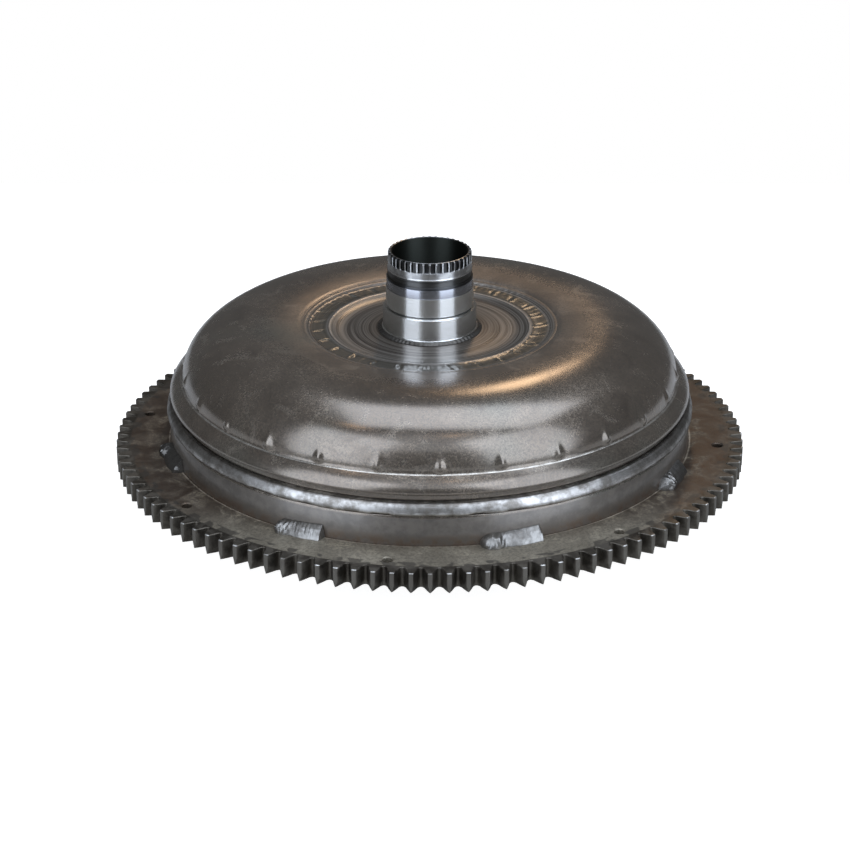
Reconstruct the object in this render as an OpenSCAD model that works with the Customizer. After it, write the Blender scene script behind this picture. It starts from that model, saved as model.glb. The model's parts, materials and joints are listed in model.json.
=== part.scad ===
// Torque converter with a welded starter ring gear.
// Millimetres, +Z along the rotation axis towards the transmission.
// Origin: centre of the crankshaft pilot's end face, the lowest point of the part.

/* [Ring gear] */
// Module of the starter teeth
gear_module = 2.54; // [2.45:0.01:2.6]
// Number of starter teeth
gear_teeth = 114; // [112:2:118]
// Thickness of the ring gear along the axis
ring_t = 9.2; // [8:0.1:10]
// Height of the ring gear's engine-side face
ring_z = 20; // [19.5:0.1:21]
// Diameter of the circle of small web holes
web_hole_pcd = 270.8; // [268:0.2:273]
// Radius of a web hole
web_hole_r = 2.35; // [2:0.05:3]
// Number of web holes, and of tack welds
web_hole_count = 8; // [4:1:12]

/* [Front cover] */
// Outer radius of the cover's wall
cover_r = 121.8; // [121.4:0.1:122.2]
// Sheet thickness of the cover
cover_t = 3.4; // [3:0.1:3.4]
// Height of the cover's outer floor face
cover_floor_z = 12; // [11.8:0.1:12]
// Height of the cover's rim
cover_rim_z = 43.3; // [42.8:0.1:43.8]
// Bend radius between floor and wall, outside
cover_bend_r = 8; // [6:0.5:8]

/* [Impeller shell] */
// Radius at which the dome is highest
crown_r = 78; // [77.5:0.1:78.5]
// Height of the dome's crown
crown_z = 85.3; // [85.2:0.1:86]
// Height of the crease under the dome
crease_z = 60.3; // [60:0.1:60.6]
// Radius of the crease under the dome
crease_r = 115.2; // [115:0.1:115.6]
// Outer radius of the flared band under the crease
band_r = 121.3; // [121:0.1:121.8]
// Height of the band's lower edge
band_z = 53.4; // [53:0.1:53.8]
// Sheet thickness of the shell
shell_t = 3; // [2.8:0.1:3]
// Number of impeller blades
impeller_blade_count = 27; // [23:1:31]

/* [Closure weld] */
// Largest radius of the weld bead
bead_r = 123.2; // [122.6:0.1:123.6]
// Height of the bead's upper edge
bead_top_z = 49.3; // [48.5:0.1:49.5]

/* [Pump-drive hub] */
// Radius of the seal journal, next to the shell
seal_journal_r = 21.7; // [21.4:0.05:21.9]
// Radius of the bushing journal
bush_journal_r = 20.2; // [20:0.05:20.6]
// Radius over the spline teeth
hub_spline_r = 19.3; // [19.1:0.05:19.6]
// Number of spline teeth on the hub's end
hub_spline_teeth = 40; // [30:2:44]
// Radius of the through bore
hub_bore_r = 15.9; // [15.8:0.05:16.2]
// Radius of the wider mouth at the open end of the bore
hub_mouth_r = 17.5; // [16.5:0.1:17.5]
// Height of the hub's end face
hub_top_z = 119.3; // [118:0.1:121]

/* [Engine side] */
// Radius of the crankshaft pilot
pilot_r = 17.5; // [16:0.5:19]
// Number of flexplate nuts
nut_count = 6; // [3:1:8]
// Diameter of the flexplate bolt circle
nut_pcd = 200; // [196:1:200]
// Radius of the tapped hole, core diameter of an M10 thread
nut_hole_r = 4.25; // [4:0.05:5]

/* [Turbine] */
// Number of turbine blades
turbine_blade_count = 29; // [25:1:33]
// Radius of the turbine hub's boss, on which the piston slides
turbine_boss_r = 22; // [21.8:0.05:22]
// Teeth of the input-shaft spline
shaft_spline_teeth = 24; // [20:1:30]

/* [Stator] */
// Number of stator vanes
vane_count = 19; // [15:1:21]
// Number of rollers in the one-way clutch
roller_count = 8; // [6:1:8]
// Radius of a clutch roller
roller_r = 3.5; // [3.3:0.1:3.5]
// Outer radius of the clutch's inner race
inner_race_r = 23.5; // [23.2:0.1:23.5]
// Needles in each thrust bearing
needle_count = 24; // [16:1:28]

/* [Lock-up clutch] */
// Number of damper springs
spring_count = 8; // [6:1:8]
// Radius of the circle through the damper springs' middles
spring_circle_r = 99; // [98.5:0.1:99]
// Outer radius of a damper spring's coils
spring_coil_r = 6.5; // [6:0.1:6.5]
// Gap between the lining and the cover when the piston rests on its stop
piston_rest_gap = 0.3; // [0.3:0.05:0.4]

/* [Hidden] */
$fn = 96;

// Small gap between pieces that touch inside one body
seat_gap = 0.05;
// Running clearance of shafts, rollers and needles
run_gap = 0.03;
// Angle that turns a feature's zero to the side facing -Y
front_angle = -90;

// Ring gear
gear_pitch_r = gear_module * gear_teeth / 2;
gear_tip_r = gear_pitch_r + gear_module;
gear_root_r = gear_pitch_r - 1.25 * gear_module;
pressure_angle = 20;
tip_round = 0.35;
ring_top_z = ring_z + ring_t;
web_hole_angle = front_angle - 7.7;
ring_weld_angle = front_angle + 12.2;
ring_weld_sweep = 11;
ring_weld_leg = 7;

// Front cover
cover_inner_r = cover_r - cover_t;
cover_inner_z = cover_floor_z + cover_t;
rib_drop = 1.6;
rib_in_r = 34;
rib_out_r = 80;
rib_slope = 3;

// Impeller shell
dome_a = crease_r - crown_r;
dome_b = crown_z - crease_z;
crown_fall = 0.005;
neck_r = cover_inner_r - 0.1;
neck_z = 38;
groove_r = 119;
shell_hub_r = seal_journal_r + 0.6;
shell_foot_z = 81.5;
shell_root_z = 77.7;
dome_steps = 20;

// Pump-drive hub
hub_flange_r = 38;
hub_flange_z = 74.5;
hub_body_r = seal_journal_r + 0.5;
seal_journal_z = 82.8;
journal_step_z = 93.1;
journal_relief = 0.5;
bush_journal_z = 93.6;
bush_end_z = 102.5;
band_end_z = 107.7;
groove_end_z = 110.2;
collar_end_z = 111.6;
spline_z = 114.6;
polish_drop = 0.3;
groove_drop = 0.2;
collar_rise = 0.3;
hub_spline_depth = 1.15;
hub_chamfer = 0.35;
mouth_depth = 14;
mouth_taper = 1.5;

// Engine side
nut_face_z = 3;
nut_r = 13;
nut_chamfer = 1;
pilot_chamfer = 1.5;
pilot_base_r = 23;
pilot_base_z = 9.2;
pilot_centre_r = 6;
pilot_centre_depth = 4;
weight_angle = 30;

// Torus: the plane between impeller and turbine, and the core ring
split_z = 57;
split_gap = 0.8;
core_r = 80;
core_a = 13;
core_b = 9.6;
core_t = 1;
blade_gap = 0.3;
blade_inlet_r = 54;
blade_core_angle = 150;
impeller_blade_t = 1.2;
impeller_exit_z = split_z + split_gap;
impeller_blade_angle = front_angle + 2.1;

// Turbine
turbine_exit_z = split_z - split_gap;
turbine_crown_r = 78;
turbine_a = 33.2;
turbine_b = 22;
turbine_t = 1.8;
turbine_ellipse_z = 55;
turbine_fall = 0.0062;
turbine_low_z = turbine_ellipse_z - turbine_b;
turbine_blade_t = 1;
turbine_seat_r = 34;
turbine_seat_z = 39;
turbine_flange_r = 47;
turbine_flange_z = turbine_seat_z + turbine_t;
turbine_top_z = 45;
turbine_foot_z = 19.2;
rivet_circle_r = 41;
rivet_r = 2.5;
rivet_head_r = 4.2;
rivet_head_t = 1.4;
rivet_count = 12;
shaft_spline_r = 12.4;
shaft_spline_depth = 1;
seal_groove_z = 21.4;
seal_groove_r = 20.6;
seal_groove_w = 2.7;

// Thrust bearings
bearing_in_r = 25;
bearing_out_r = 36;
needle_r = 1;
needle_l = 7;
needle_in_r = 27;
bearing_race_t = 1;
needle_gap = 0.05;
turbine_needle_z = turbine_top_z + bearing_race_t + needle_gap + needle_r;
stator_foot_z = turbine_needle_z + needle_r + needle_gap + bearing_race_t;
hub_needle_z = hub_flange_z - bearing_race_t - needle_gap - needle_r;
stator_race_top_z = hub_needle_z - needle_r - needle_gap;
stator_head_z = stator_race_top_z - bearing_race_t;

// Stator and one-way clutch
stator_bore_r = 36.15;
stator_hub_r = 43;
stator_top_z = 72.4;
shroud_in_r = 64;
shroud_out_r = 66;
shroud_low_z = 54.5;
shroud_top_z = 63.5;
vane_mid_z = 59.3;
vane_chord = 12.4;
vane_camber = 3.4;
vane_half_t = 2.2;
roller_pitch_r = inner_race_r + roller_r + run_gap;
cam_in_r = 24.1;
cam_out_r = 36.1;
plate_t = 2.8;
cam_low_z = stator_foot_z + plate_t + seat_gap;
cam_top_z = stator_head_z - plate_t + 0.1;
roller_end_gap = 0.4;
pocket_l = 9.9;
clutch_spring_r = 2;
clutch_spring_l = 6;
snap_r = 37.1;
snap_in_r = 35.3;
inner_race_low_z = stator_foot_z + 0.6;
inner_race_top_z = stator_head_z - 0.4;
race_spline_r = 14.6;
race_spline_depth = 1;

// Lock-up clutch and damper
lining_in_r = 92;
lining_out_r = 108;
lining_t = 1.5;
lining_z = cover_inner_z + piston_rest_gap;
piston_z = lining_z + lining_t;
piston_t = 3;
piston_out_r = 112.5;
piston_bore_r = turbine_boss_r + 0.05;
sleeve_r = 25.5;
sleeve_top_z = 27;
sleeve_low_z = 19.8;
drive_z = 21.5;
drive_t = 1.6;
drive_in_r = 62;
drive_wall_r = 107.8;
drive_lip_r = 101.5;
drive_top_z = 37;
spring_z = 30;
spring_l = 40;
drive_stop_r = 104.2;
drive_stop_half = 10.6;
key_in_r = 110;
key_out_r = 112.2;
key_w = 12;
key_slot_gap = 0.5;
driven_z = 31.3;
driven_t = 1.6;
driven_in_r = 66;
driven_out_r = 90;
driven_tab_r = 102.8;
driven_tab_half = 5;
driven_tab_low_z = 26;
damper_pitch = 360 / spring_count;

// Points on an ellipse about (cx, cz), from angle a0 to a1
function arc_points(cx, cz, a, b, a0, a1, steps) =
    [for (i = [0:steps]) let (t = a0 + (a1 - a0) * i / steps) [cx + a * cos(t), cz + b * sin(t)]];

// A point at a radius, at a sideways distance from the line at an angle
function side_point(r, side, angle) = let (t = angle + asin(side / r)) [r * cos(t), r * sin(t)];

function crown_height(r) = crown_z - crown_fall * pow(crown_r - r, 2);
function turbine_height(r) = turbine_low_z + turbine_fall * pow(turbine_crown_r - r, 2);

function steel_dark() = [0.27, 0.25, 0.23];
function steel_bright() = [0.72, 0.73, 0.74];

module ring(in_r, out_r, low_z, top_z) {
    translate([0, 0, low_z])
        difference() {
            cylinder(r = out_r, h = top_z - low_z);
            translate([0, 0, -1]) cylinder(r = in_r, h = top_z - low_z + 2);
        }
}

module spin(count, start = 0) {
    for (i = [0:count - 1]) rotate([0, 0, start + i * 360 / count]) children();
}

// A toothed outline with straight flanks: root and tip radius, half widths at root and tip
module toothed(count, root_r, tip_r, root_half, tip_half, start) {
    polygon([for (i = [0:count - 1]) let (a = start + i * 360 / count)
        for (p = [[root_r, -root_half], [tip_r, -tip_half], [tip_r, tip_half], [root_r, root_half]])
            side_point(p[0], p[1], a)]);
}

// A radial plate from an outline in the (radius, height) plane
module radial_plate(thickness, outline) {
    rotate([90, 0, 0])
        translate([0, 0, -thickness / 2])
            linear_extrude(thickness) polygon(outline);
}

module front_cover() {
    color(steel_dark())
        rotate_extrude()
            polygon(concat(
                [[0, cover_floor_z], [rib_in_r - rib_slope, cover_floor_z],
                    [rib_in_r, cover_floor_z - rib_drop], [rib_out_r, cover_floor_z - rib_drop],
                    [rib_out_r + rib_slope, cover_floor_z]],
                arc_points(cover_r - cover_bend_r, cover_floor_z + cover_bend_r,
                    cover_bend_r, cover_bend_r, -90, 0, 8),
                [[cover_r, cover_rim_z], [cover_inner_r, cover_rim_z]],
                arc_points(cover_r - cover_bend_r, cover_floor_z + cover_bend_r,
                    cover_bend_r - cover_t, cover_bend_r - cover_t, 0, -90, 6),
                [[0, cover_inner_z]]));
}

module crankshaft_pilot() {
    color(steel_bright())
        difference() {
            union() {
                cylinder(r1 = pilot_r - pilot_chamfer, r2 = pilot_r, h = pilot_chamfer);
                translate([0, 0, pilot_chamfer])
                    cylinder(r = pilot_r, h = cover_floor_z - pilot_chamfer);
                translate([0, 0, pilot_base_z])
                    cylinder(r = pilot_base_r, h = cover_floor_z - pilot_base_z);
            }
            translate([0, 0, -1]) cylinder(r = pilot_centre_r, h = pilot_centre_depth + 1);
        }
}

module pilot_weld() {
    leg = 2.4;
    in_r = pilot_base_r + seat_gap;
    color(steel_dark())
        rotate_extrude()
            polygon([[in_r, cover_floor_z], [in_r, cover_floor_z - leg],
                [in_r + leg * 0.6, cover_floor_z - leg * 0.7], [in_r + leg, cover_floor_z]]);
}

module flexplate_nuts() {
    color(steel_bright())
        spin(nut_count)
            translate([nut_pcd / 2, 0, nut_face_z])
                difference() {
                    union() {
                        cylinder(r1 = nut_r - nut_chamfer, r2 = nut_r, h = nut_chamfer);
                        translate([0, 0, nut_chamfer])
                            cylinder(r = nut_r, h = cover_floor_z - nut_face_z - nut_chamfer);
                    }
                    translate([0, 0, -1]) cylinder(r = nut_hole_r, h = cover_floor_z + 2);
                }
}

module balance_weight() {
    length = 24;
    width = 13;
    thickness = 2;
    color(steel_bright())
        rotate([0, 0, weight_angle])
            translate([nut_pcd / 2 - width / 2, -length / 2, cover_floor_z - thickness])
                cube([width, length, thickness]);
}

module ring_gear() {
    pitch_half = gear_module * PI / 4;
    flank = tan(pressure_angle);
    root_half = pitch_half + (gear_pitch_r - gear_root_r) * flank;
    tip_half = pitch_half - (gear_tip_r - gear_pitch_r) * flank;
    color(steel_dark())
        translate([0, 0, ring_z])
            difference() {
                linear_extrude(ring_t)
                    polygon([for (i = [0:gear_teeth - 1])
                        let (a = front_angle + i * 360 / gear_teeth)
                        for (p = [[gear_root_r, -root_half], [gear_tip_r - tip_round, -tip_half],
                            [gear_tip_r, tip_round - tip_half], [gear_tip_r, tip_half - tip_round],
                            [gear_tip_r - tip_round, tip_half], [gear_root_r, root_half]])
                            side_point(p[0], p[1], a)]);
                translate([0, 0, -1]) cylinder(r = cover_r + seat_gap, h = ring_t + 2);
                spin(web_hole_count, web_hole_angle)
                    translate([web_hole_pcd / 2, 0, -1]) cylinder(r = web_hole_r, h = ring_t + 2);
            }
}

module ring_gear_welds() {
    low_z = ring_top_z + seat_gap;
    in_r = cover_r + seat_gap;
    color(steel_bright())
        spin(web_hole_count, ring_weld_angle)
            rotate_extrude(angle = ring_weld_sweep)
                polygon([[in_r, low_z], [in_r + ring_weld_leg, low_z],
                    [in_r + ring_weld_leg * 0.8, low_z + ring_weld_leg * 0.35],
                    [in_r + ring_weld_leg * 0.4, low_z + ring_weld_leg * 0.75],
                    [in_r, low_z + ring_weld_leg]]);
}

module impeller_shell() {
    inner_r = neck_r - shell_t;
    color(steel_dark())
        rotate_extrude()
            polygon(concat(
                [[shell_hub_r, shell_root_z], [shell_hub_r, shell_foot_z], [31, 81.2], [40, 80.8],
                    [46, 81.7], [49, 83], [51, 83.2], [54.5, 82.8]],
                [for (r = [58:5:73]) [r, crown_height(r)]],
                arc_points(crown_r, crease_z, dome_a, dome_b, 90, 0, dome_steps),
                arc_points(crease_r, band_z, band_r - crease_r, crease_z - band_z, 90, 0, 8),
                [[band_r - 0.8, band_z - 0.9], [groove_r, band_z - 1.2],
                    [groove_r, bead_top_z + 0.5], [neck_r, bead_top_z + 0.1],
                    [neck_r, neck_z], [inner_r, neck_z], [inner_r, band_z + 1]],
                arc_points(crown_r, crease_z, dome_a - shell_t, dome_b - shell_t, 0, 90, dome_steps),
                [for (r = [73:-5:58]) [r, crown_height(r) - shell_t]],
                [[50, 79.8], [44, 78.4], [hub_flange_r + 1, shell_root_z]]));
}

module closure_weld() {
    width = bead_r - neck_r;
    color(steel_bright())
        rotate_extrude()
            polygon([[neck_r + seat_gap, cover_rim_z], [bead_r - 0.9, cover_rim_z],
                [bead_r - 0.1, cover_rim_z + 0.9], [bead_r, cover_rim_z + 2],
                [bead_r - width * 0.12, cover_rim_z + 3.8], [bead_r - width * 0.35, bead_top_z - 0.6],
                [bead_r - width * 0.6, bead_top_z], [neck_r + seat_gap, bead_top_z]]);
}

module impeller_hub() {
    root_r = hub_spline_r - hub_spline_depth;
    cut_r = hub_spline_r + 1;
    slot_low_half = PI * root_r / hub_spline_teeth * 0.5;
    slot_high_half = PI * cut_r / hub_spline_teeth * 0.68;
    slot_start = front_angle + 180 / hub_spline_teeth;
    color(steel_bright())
        difference() {
            rotate_extrude()
                polygon([[hub_bore_r, hub_flange_z], [hub_flange_r, hub_flange_z],
                    [hub_flange_r, shell_root_z - seat_gap], [hub_body_r, shell_root_z - seat_gap],
                    [hub_body_r, seal_journal_z], [seal_journal_r, seal_journal_z],
                    [seal_journal_r, journal_step_z - journal_relief],
                    [seal_journal_r - journal_relief, journal_step_z],
                    [bush_journal_r - journal_relief, journal_step_z],
                    [bush_journal_r - journal_relief, bush_journal_z],
                    [bush_journal_r, bush_journal_z], [bush_journal_r, bush_end_z],
                    [bush_journal_r - polish_drop, bush_end_z], [bush_journal_r - polish_drop, band_end_z],
                    [hub_spline_r - groove_drop, band_end_z + groove_drop],
                    [hub_spline_r - groove_drop, groove_end_z],
                    [hub_spline_r + collar_rise, groove_end_z + groove_drop],
                    [hub_spline_r + collar_rise, collar_end_z],
                    [hub_spline_r, collar_end_z + groove_drop], [hub_spline_r, hub_top_z],
                    [hub_mouth_r + hub_chamfer, hub_top_z], [hub_mouth_r, hub_top_z - hub_chamfer],
                    [hub_mouth_r, hub_top_z - mouth_depth],
                    [hub_bore_r, hub_top_z - mouth_depth - mouth_taper]]);
            spin(hub_spline_teeth, slot_start)
                translate([0, 0, spline_z])
                    linear_extrude(hub_top_z - spline_z + 1)
                        polygon([[root_r, -slot_low_half], [cut_r, -slot_high_half],
                            [cut_r, slot_high_half], [root_r, slot_low_half]]);
        }
}

module hub_weld() {
    in_r = hub_body_r + seat_gap;
    color(steel_bright())
        rotate_extrude()
            polygon([[in_r, shell_foot_z + seat_gap], [in_r + 2.4, shell_foot_z + seat_gap],
                [in_r + 1.6, shell_foot_z + 0.7], [in_r + 0.6, shell_foot_z + 1.2],
                [in_r, seal_journal_z]]);
}

module impeller_blades() {
    out_a = dome_a - shell_t - blade_gap;
    out_b = dome_b - shell_t - blade_gap;
    top = shell_t + blade_gap;
    color([0.55, 0.54, 0.5])
        spin(impeller_blade_count, impeller_blade_angle)
            radial_plate(impeller_blade_t, concat(
                [[crown_r + out_a, impeller_exit_z]],
                arc_points(crown_r, crease_z, out_a, out_b, 0, 90, 9),
                [[68, crown_height(68) - top], [58, crown_height(58) - top], [blade_inlet_r, 79.4]],
                arc_points(core_r, impeller_exit_z, core_a + blade_gap, core_b + blade_gap,
                    blade_core_angle, 0, 7)));
}

module impeller_core_ring() {
    color([0.55, 0.54, 0.5])
        rotate_extrude()
            polygon(concat(
                arc_points(core_r, impeller_exit_z, core_a, core_b, 0, 180, 16),
                arc_points(core_r, impeller_exit_z, core_a - core_t, core_b - core_t, 180, 0, 16)));
}

module turbine_shell() {
    rim_r = turbine_crown_r + turbine_a;
    inner_flat_r = 46.8;
    color([0.5, 0.49, 0.46])
        difference() {
            rotate_extrude()
                polygon(concat(
                    [[turbine_seat_r, turbine_seat_z], [46, turbine_seat_z]],
                    [for (r = [50:7:71]) [r, turbine_height(r)]],
                    arc_points(turbine_crown_r, turbine_ellipse_z, turbine_a, turbine_b, -90, 0, 14),
                    [[rim_r, turbine_exit_z], [rim_r - turbine_t, turbine_exit_z]],
                    arc_points(turbine_crown_r, turbine_ellipse_z,
                        turbine_a - turbine_t, turbine_b - turbine_t, 0, -90, 14),
                    [for (r = [71:-7:50]) [r, turbine_height(r) + turbine_t]],
                    [[inner_flat_r, turbine_flange_z], [turbine_seat_r, turbine_flange_z]]));
            spin(rivet_count)
                translate([rivet_circle_r, 0, turbine_seat_z - 1])
                    cylinder(r = rivet_r + seat_gap, h = turbine_t + 2);
        }
}

module turbine_blades() {
    out_a = turbine_a - turbine_t - blade_gap;
    out_b = turbine_b - turbine_t - blade_gap;
    low = turbine_t + blade_gap;
    color([0.55, 0.54, 0.5])
        spin(turbine_blade_count, front_angle)
            radial_plate(turbine_blade_t, concat(
                [[turbine_crown_r + out_a, turbine_exit_z]],
                arc_points(turbine_crown_r, turbine_ellipse_z, out_a, out_b, 0, -90, 9),
                [[66, turbine_height(66) + low], [blade_inlet_r, turbine_height(blade_inlet_r) + low]],
                arc_points(core_r, turbine_exit_z, core_a + blade_gap, core_b + blade_gap,
                    -blade_core_angle, 0, 7)));
}

module turbine_core_ring() {
    color([0.55, 0.54, 0.5])
        rotate_extrude()
            polygon(concat(
                arc_points(core_r, turbine_exit_z, core_a, core_b, 0, -180, 16),
                arc_points(core_r, turbine_exit_z, core_a - core_t, core_b - core_t, -180, 0, 16)));
}

module turbine_hub() {
    bore_root_r = shaft_spline_r + shaft_spline_depth;
    tooth_half = PI * shaft_spline_r / shaft_spline_teeth * 0.5;
    gap_half = PI * bore_root_r / shaft_spline_teeth * 0.4;
    color(steel_bright())
        difference() {
            union() {
                translate([0, 0, turbine_foot_z])
                    cylinder(r = turbine_boss_r, h = turbine_top_z - turbine_foot_z);
                translate([0, 0, turbine_seat_z - 2])
                    cylinder(r = turbine_seat_r - seat_gap, h = turbine_t + 3);
                translate([0, 0, turbine_flange_z])
                    cylinder(r = turbine_flange_r, h = turbine_top_z - turbine_flange_z);
            }
            translate([0, 0, turbine_foot_z - 1])
                linear_extrude(turbine_top_z - turbine_foot_z + 2)
                    toothed(shaft_spline_teeth, shaft_spline_r, bore_root_r, tooth_half, gap_half,
                        front_angle);
            ring(seal_groove_r, turbine_boss_r + 1, seal_groove_z, seal_groove_z + seal_groove_w);
            spin(rivet_count)
                translate([rivet_circle_r, 0, turbine_flange_z - 1])
                    cylinder(r = rivet_r + seat_gap, h = turbine_top_z - turbine_flange_z + 2);
        }
}

module turbine_rivets() {
    color(steel_bright())
        spin(rivet_count)
            translate([rivet_circle_r, 0, turbine_seat_z - rivet_head_t]) {
                cylinder(r1 = rivet_head_r * 0.7, r2 = rivet_head_r, h = rivet_head_t);
                translate([0, 0, rivet_head_t])
                    cylinder(r = rivet_r, h = turbine_top_z - turbine_seat_z);
                translate([0, 0, rivet_head_t + turbine_top_z - turbine_seat_z])
                    cylinder(r1 = rivet_head_r, r2 = rivet_head_r * 0.7, h = rivet_head_t);
            }
}

module turbine_bearing_race() {
    color(steel_bright())
        ring(bearing_in_r, bearing_out_r, turbine_top_z, turbine_top_z + bearing_race_t);
}

module impeller_bearing_race() {
    color(steel_bright())
        ring(bearing_in_r, bearing_out_r, hub_flange_z - bearing_race_t, hub_flange_z);
}

module piston_seal_ring() {
    side_gap = 0.1;
    color([0.1, 0.1, 0.1])
        ring(seal_groove_r + seat_gap, turbine_boss_r + run_gap / 3,
            seal_groove_z + side_gap, seal_groove_z + seal_groove_w - side_gap);
}

module cover_thrust_washer() {
    float_gap = 0.4;
    color([0.45, 0.36, 0.2])
        difference() {
            ring(shaft_spline_r + 2, turbine_boss_r - 0.5, cover_inner_z + float_gap, turbine_foot_z);
            spin(4)
                translate([shaft_spline_r, -1.5, cover_inner_z]) cube([12, 3, 2]);
        }
}

module damper_driven_plate() {
    color([0.5, 0.49, 0.46]) {
        difference() {
            union() {
                ring(driven_in_r, driven_out_r, driven_z, driven_z + driven_t);
                spin(spring_count, damper_pitch / 2 - driven_tab_half)
                    rotate_extrude(angle = 2 * driven_tab_half)
                        polygon([[driven_out_r - 2, driven_z], [driven_tab_r - 2, driven_z],
                            [driven_tab_r - 2, driven_tab_low_z], [driven_tab_r, driven_tab_low_z],
                            [driven_tab_r, driven_z + driven_t], [driven_out_r - 2, driven_z + driven_t]]);
            }
            spin(spring_count)
                translate([(driven_in_r + driven_out_r) / 2, 0, driven_z - 1])
                    cylinder(r = 4.5, h = driven_t + 2);
        }
    }
}

module damper_drive_plate() {
    floor_top_z = drive_z + drive_t;
    wall_out_r = drive_wall_r + drive_t;
    stop_low_z = floor_top_z - seat_gap;
    color([0.5, 0.49, 0.46]) {
        rotate_extrude()
            polygon([[drive_in_r, drive_z], [wall_out_r, drive_z],
                [wall_out_r, drive_top_z + drive_t], [drive_lip_r, drive_top_z + drive_t],
                [drive_lip_r, drive_top_z], [drive_wall_r, drive_top_z],
                [drive_wall_r, floor_top_z], [drive_in_r, floor_top_z]]);
        spin(spring_count, damper_pitch / 2 - drive_stop_half)
            rotate_extrude(angle = 2 * drive_stop_half)
                polygon([[drive_stop_r, stop_low_z], [drive_wall_r + seat_gap, stop_low_z],
                    [drive_wall_r + seat_gap, drive_top_z - 1], [drive_stop_r, drive_top_z - 1]]);
        spin(spring_count)
            translate([wall_out_r - 1, -key_w / 2, drive_z])
                cube([key_out_r - wall_out_r + 1, key_w, drive_t]);
        spin(spring_count)
            translate([key_in_r, -key_w / 2, piston_z])
                cube([key_out_r - key_in_r, key_w, drive_z - piston_z + seat_gap]);
    }
}

module damper_springs() {
    color([0.35, 0.36, 0.38])
        spin(spring_count)
            translate([spring_circle_r, spring_l / 2, spring_z])
                rotate([90, 0, 0]) cylinder(r = spring_coil_r, h = spring_l);
}

module lockup_piston() {
    top_z = piston_z + piston_t;
    slot_w = key_w + 2 * key_slot_gap;
    color([0.5, 0.49, 0.46])
        difference() {
            rotate_extrude()
                polygon([[piston_bore_r, sleeve_low_z], [30, sleeve_low_z], [48, piston_z],
                    [piston_out_r, piston_z], [piston_out_r, top_z], [50, top_z],
                    [34, sleeve_low_z + piston_t], [sleeve_r, sleeve_low_z + piston_t],
                    [sleeve_r, sleeve_top_z], [piston_bore_r, sleeve_top_z]]);
            spin(spring_count)
                translate([key_in_r - key_slot_gap, -slot_w / 2, piston_z - 1])
                    cube([piston_out_r, slot_w, piston_t + 2]);
        }
}

module friction_lining() {
    color([0.32, 0.24, 0.15])
        ring(lining_in_r, lining_out_r, lining_z, piston_z);
}

// Vane section: mean line along the axis with a bow, and a rounded nose
function vane_outline() = let (
    t = [0, 0.06, 0.2, 0.45, 0.75, 1],
    thick = [for (s = t) vane_half_t * (sqrt(s) * (1 - s) * 2.2 + 0.12)],
    mean = [for (s = t) [vane_chord * (s - 0.5), vane_camber * 4 * s * (1 - s) + vane_camber * s]])
    concat([for (i = [0:5]) [mean[i][0], mean[i][1] + thick[i]]],
        [for (i = [5:-1:0]) [mean[i][0], mean[i][1] - thick[i]]]);

module stator_wheel() {
    groove_t = bearing_race_t + 0.1;
    color([0.68, 0.68, 0.67])
        difference() {
            union() {
                ring(stator_bore_r, stator_hub_r, stator_foot_z, stator_top_z);
                ring(shroud_in_r, shroud_out_r, shroud_low_z, shroud_top_z);
                spin(vane_count)
                    translate([stator_hub_r - 1, 0, vane_mid_z])
                        rotate([0, 90, 0])
                            linear_extrude(shroud_in_r - stator_hub_r + 2) polygon(vane_outline());
            }
            ring(stator_bore_r - 1, snap_r, stator_head_z, stator_head_z + groove_t);
        }
}

module clutch_outer_race() {
    side = roller_r + run_gap;
    color(steel_bright())
        difference() {
            ring(cam_in_r, cam_out_r, cam_low_z, cam_top_z);
            spin(roller_count)
                translate([roller_pitch_r - 6, -side, cam_low_z - 1])
                    cube([6 + side, side + pocket_l, cam_top_z - cam_low_z + 2]);
        }
}

module clutch_rollers() {
    color(steel_bright())
        spin(roller_count)
            translate([roller_pitch_r, 0, cam_low_z + roller_end_gap])
                cylinder(r = roller_r, h = cam_top_z - cam_low_z - 2 * roller_end_gap);
}

module clutch_springs() {
    radial_shift = 0.8;
    color([0.35, 0.36, 0.38])
        spin(roller_count)
            translate([roller_pitch_r + radial_shift, pocket_l - seat_gap, (cam_low_z + cam_top_z) / 2])
                rotate([90, 0, 0]) cylinder(r = clutch_spring_r, h = clutch_spring_l);
}

module clutch_lower_plate() {
    color([0.6, 0.45, 0.25])
        ring(cam_in_r, cam_out_r, stator_foot_z, stator_foot_z + plate_t);
}

module clutch_upper_plate() {
    color([0.6, 0.45, 0.25])
        ring(cam_in_r, cam_out_r, cam_top_z + seat_gap, stator_head_z);
}

module clutch_snap_ring() {
    opening = 9;
    color([0.25, 0.25, 0.26])
        difference() {
            ring(snap_in_r, snap_r - seat_gap, stator_head_z + seat_gap, stator_race_top_z);
            translate([0, -opening / 2, stator_head_z]) cube([snap_r + 1, opening, 2]);
        }
}

module stator_lower_race() {
    color(steel_bright())
        ring(bearing_in_r, bearing_out_r, stator_foot_z - bearing_race_t, stator_foot_z);
}

module stator_upper_race() {
    color(steel_bright())
        ring(bearing_in_r, snap_in_r - 0.5, stator_head_z, stator_race_top_z);
}

module clutch_inner_race() {
    root_r = race_spline_r + race_spline_depth;
    tooth_half = PI * race_spline_r / shaft_spline_teeth * 0.5;
    gap_half = PI * root_r / shaft_spline_teeth * 0.4;
    color(steel_bright())
        difference() {
            translate([0, 0, inner_race_low_z])
                cylinder(r = inner_race_r, h = inner_race_top_z - inner_race_low_z);
            translate([0, 0, inner_race_low_z - 1])
                linear_extrude(inner_race_top_z - inner_race_low_z + 2)
                    toothed(shaft_spline_teeth, race_spline_r, root_r, tooth_half, gap_half,
                        front_angle);
        }
}

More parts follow.
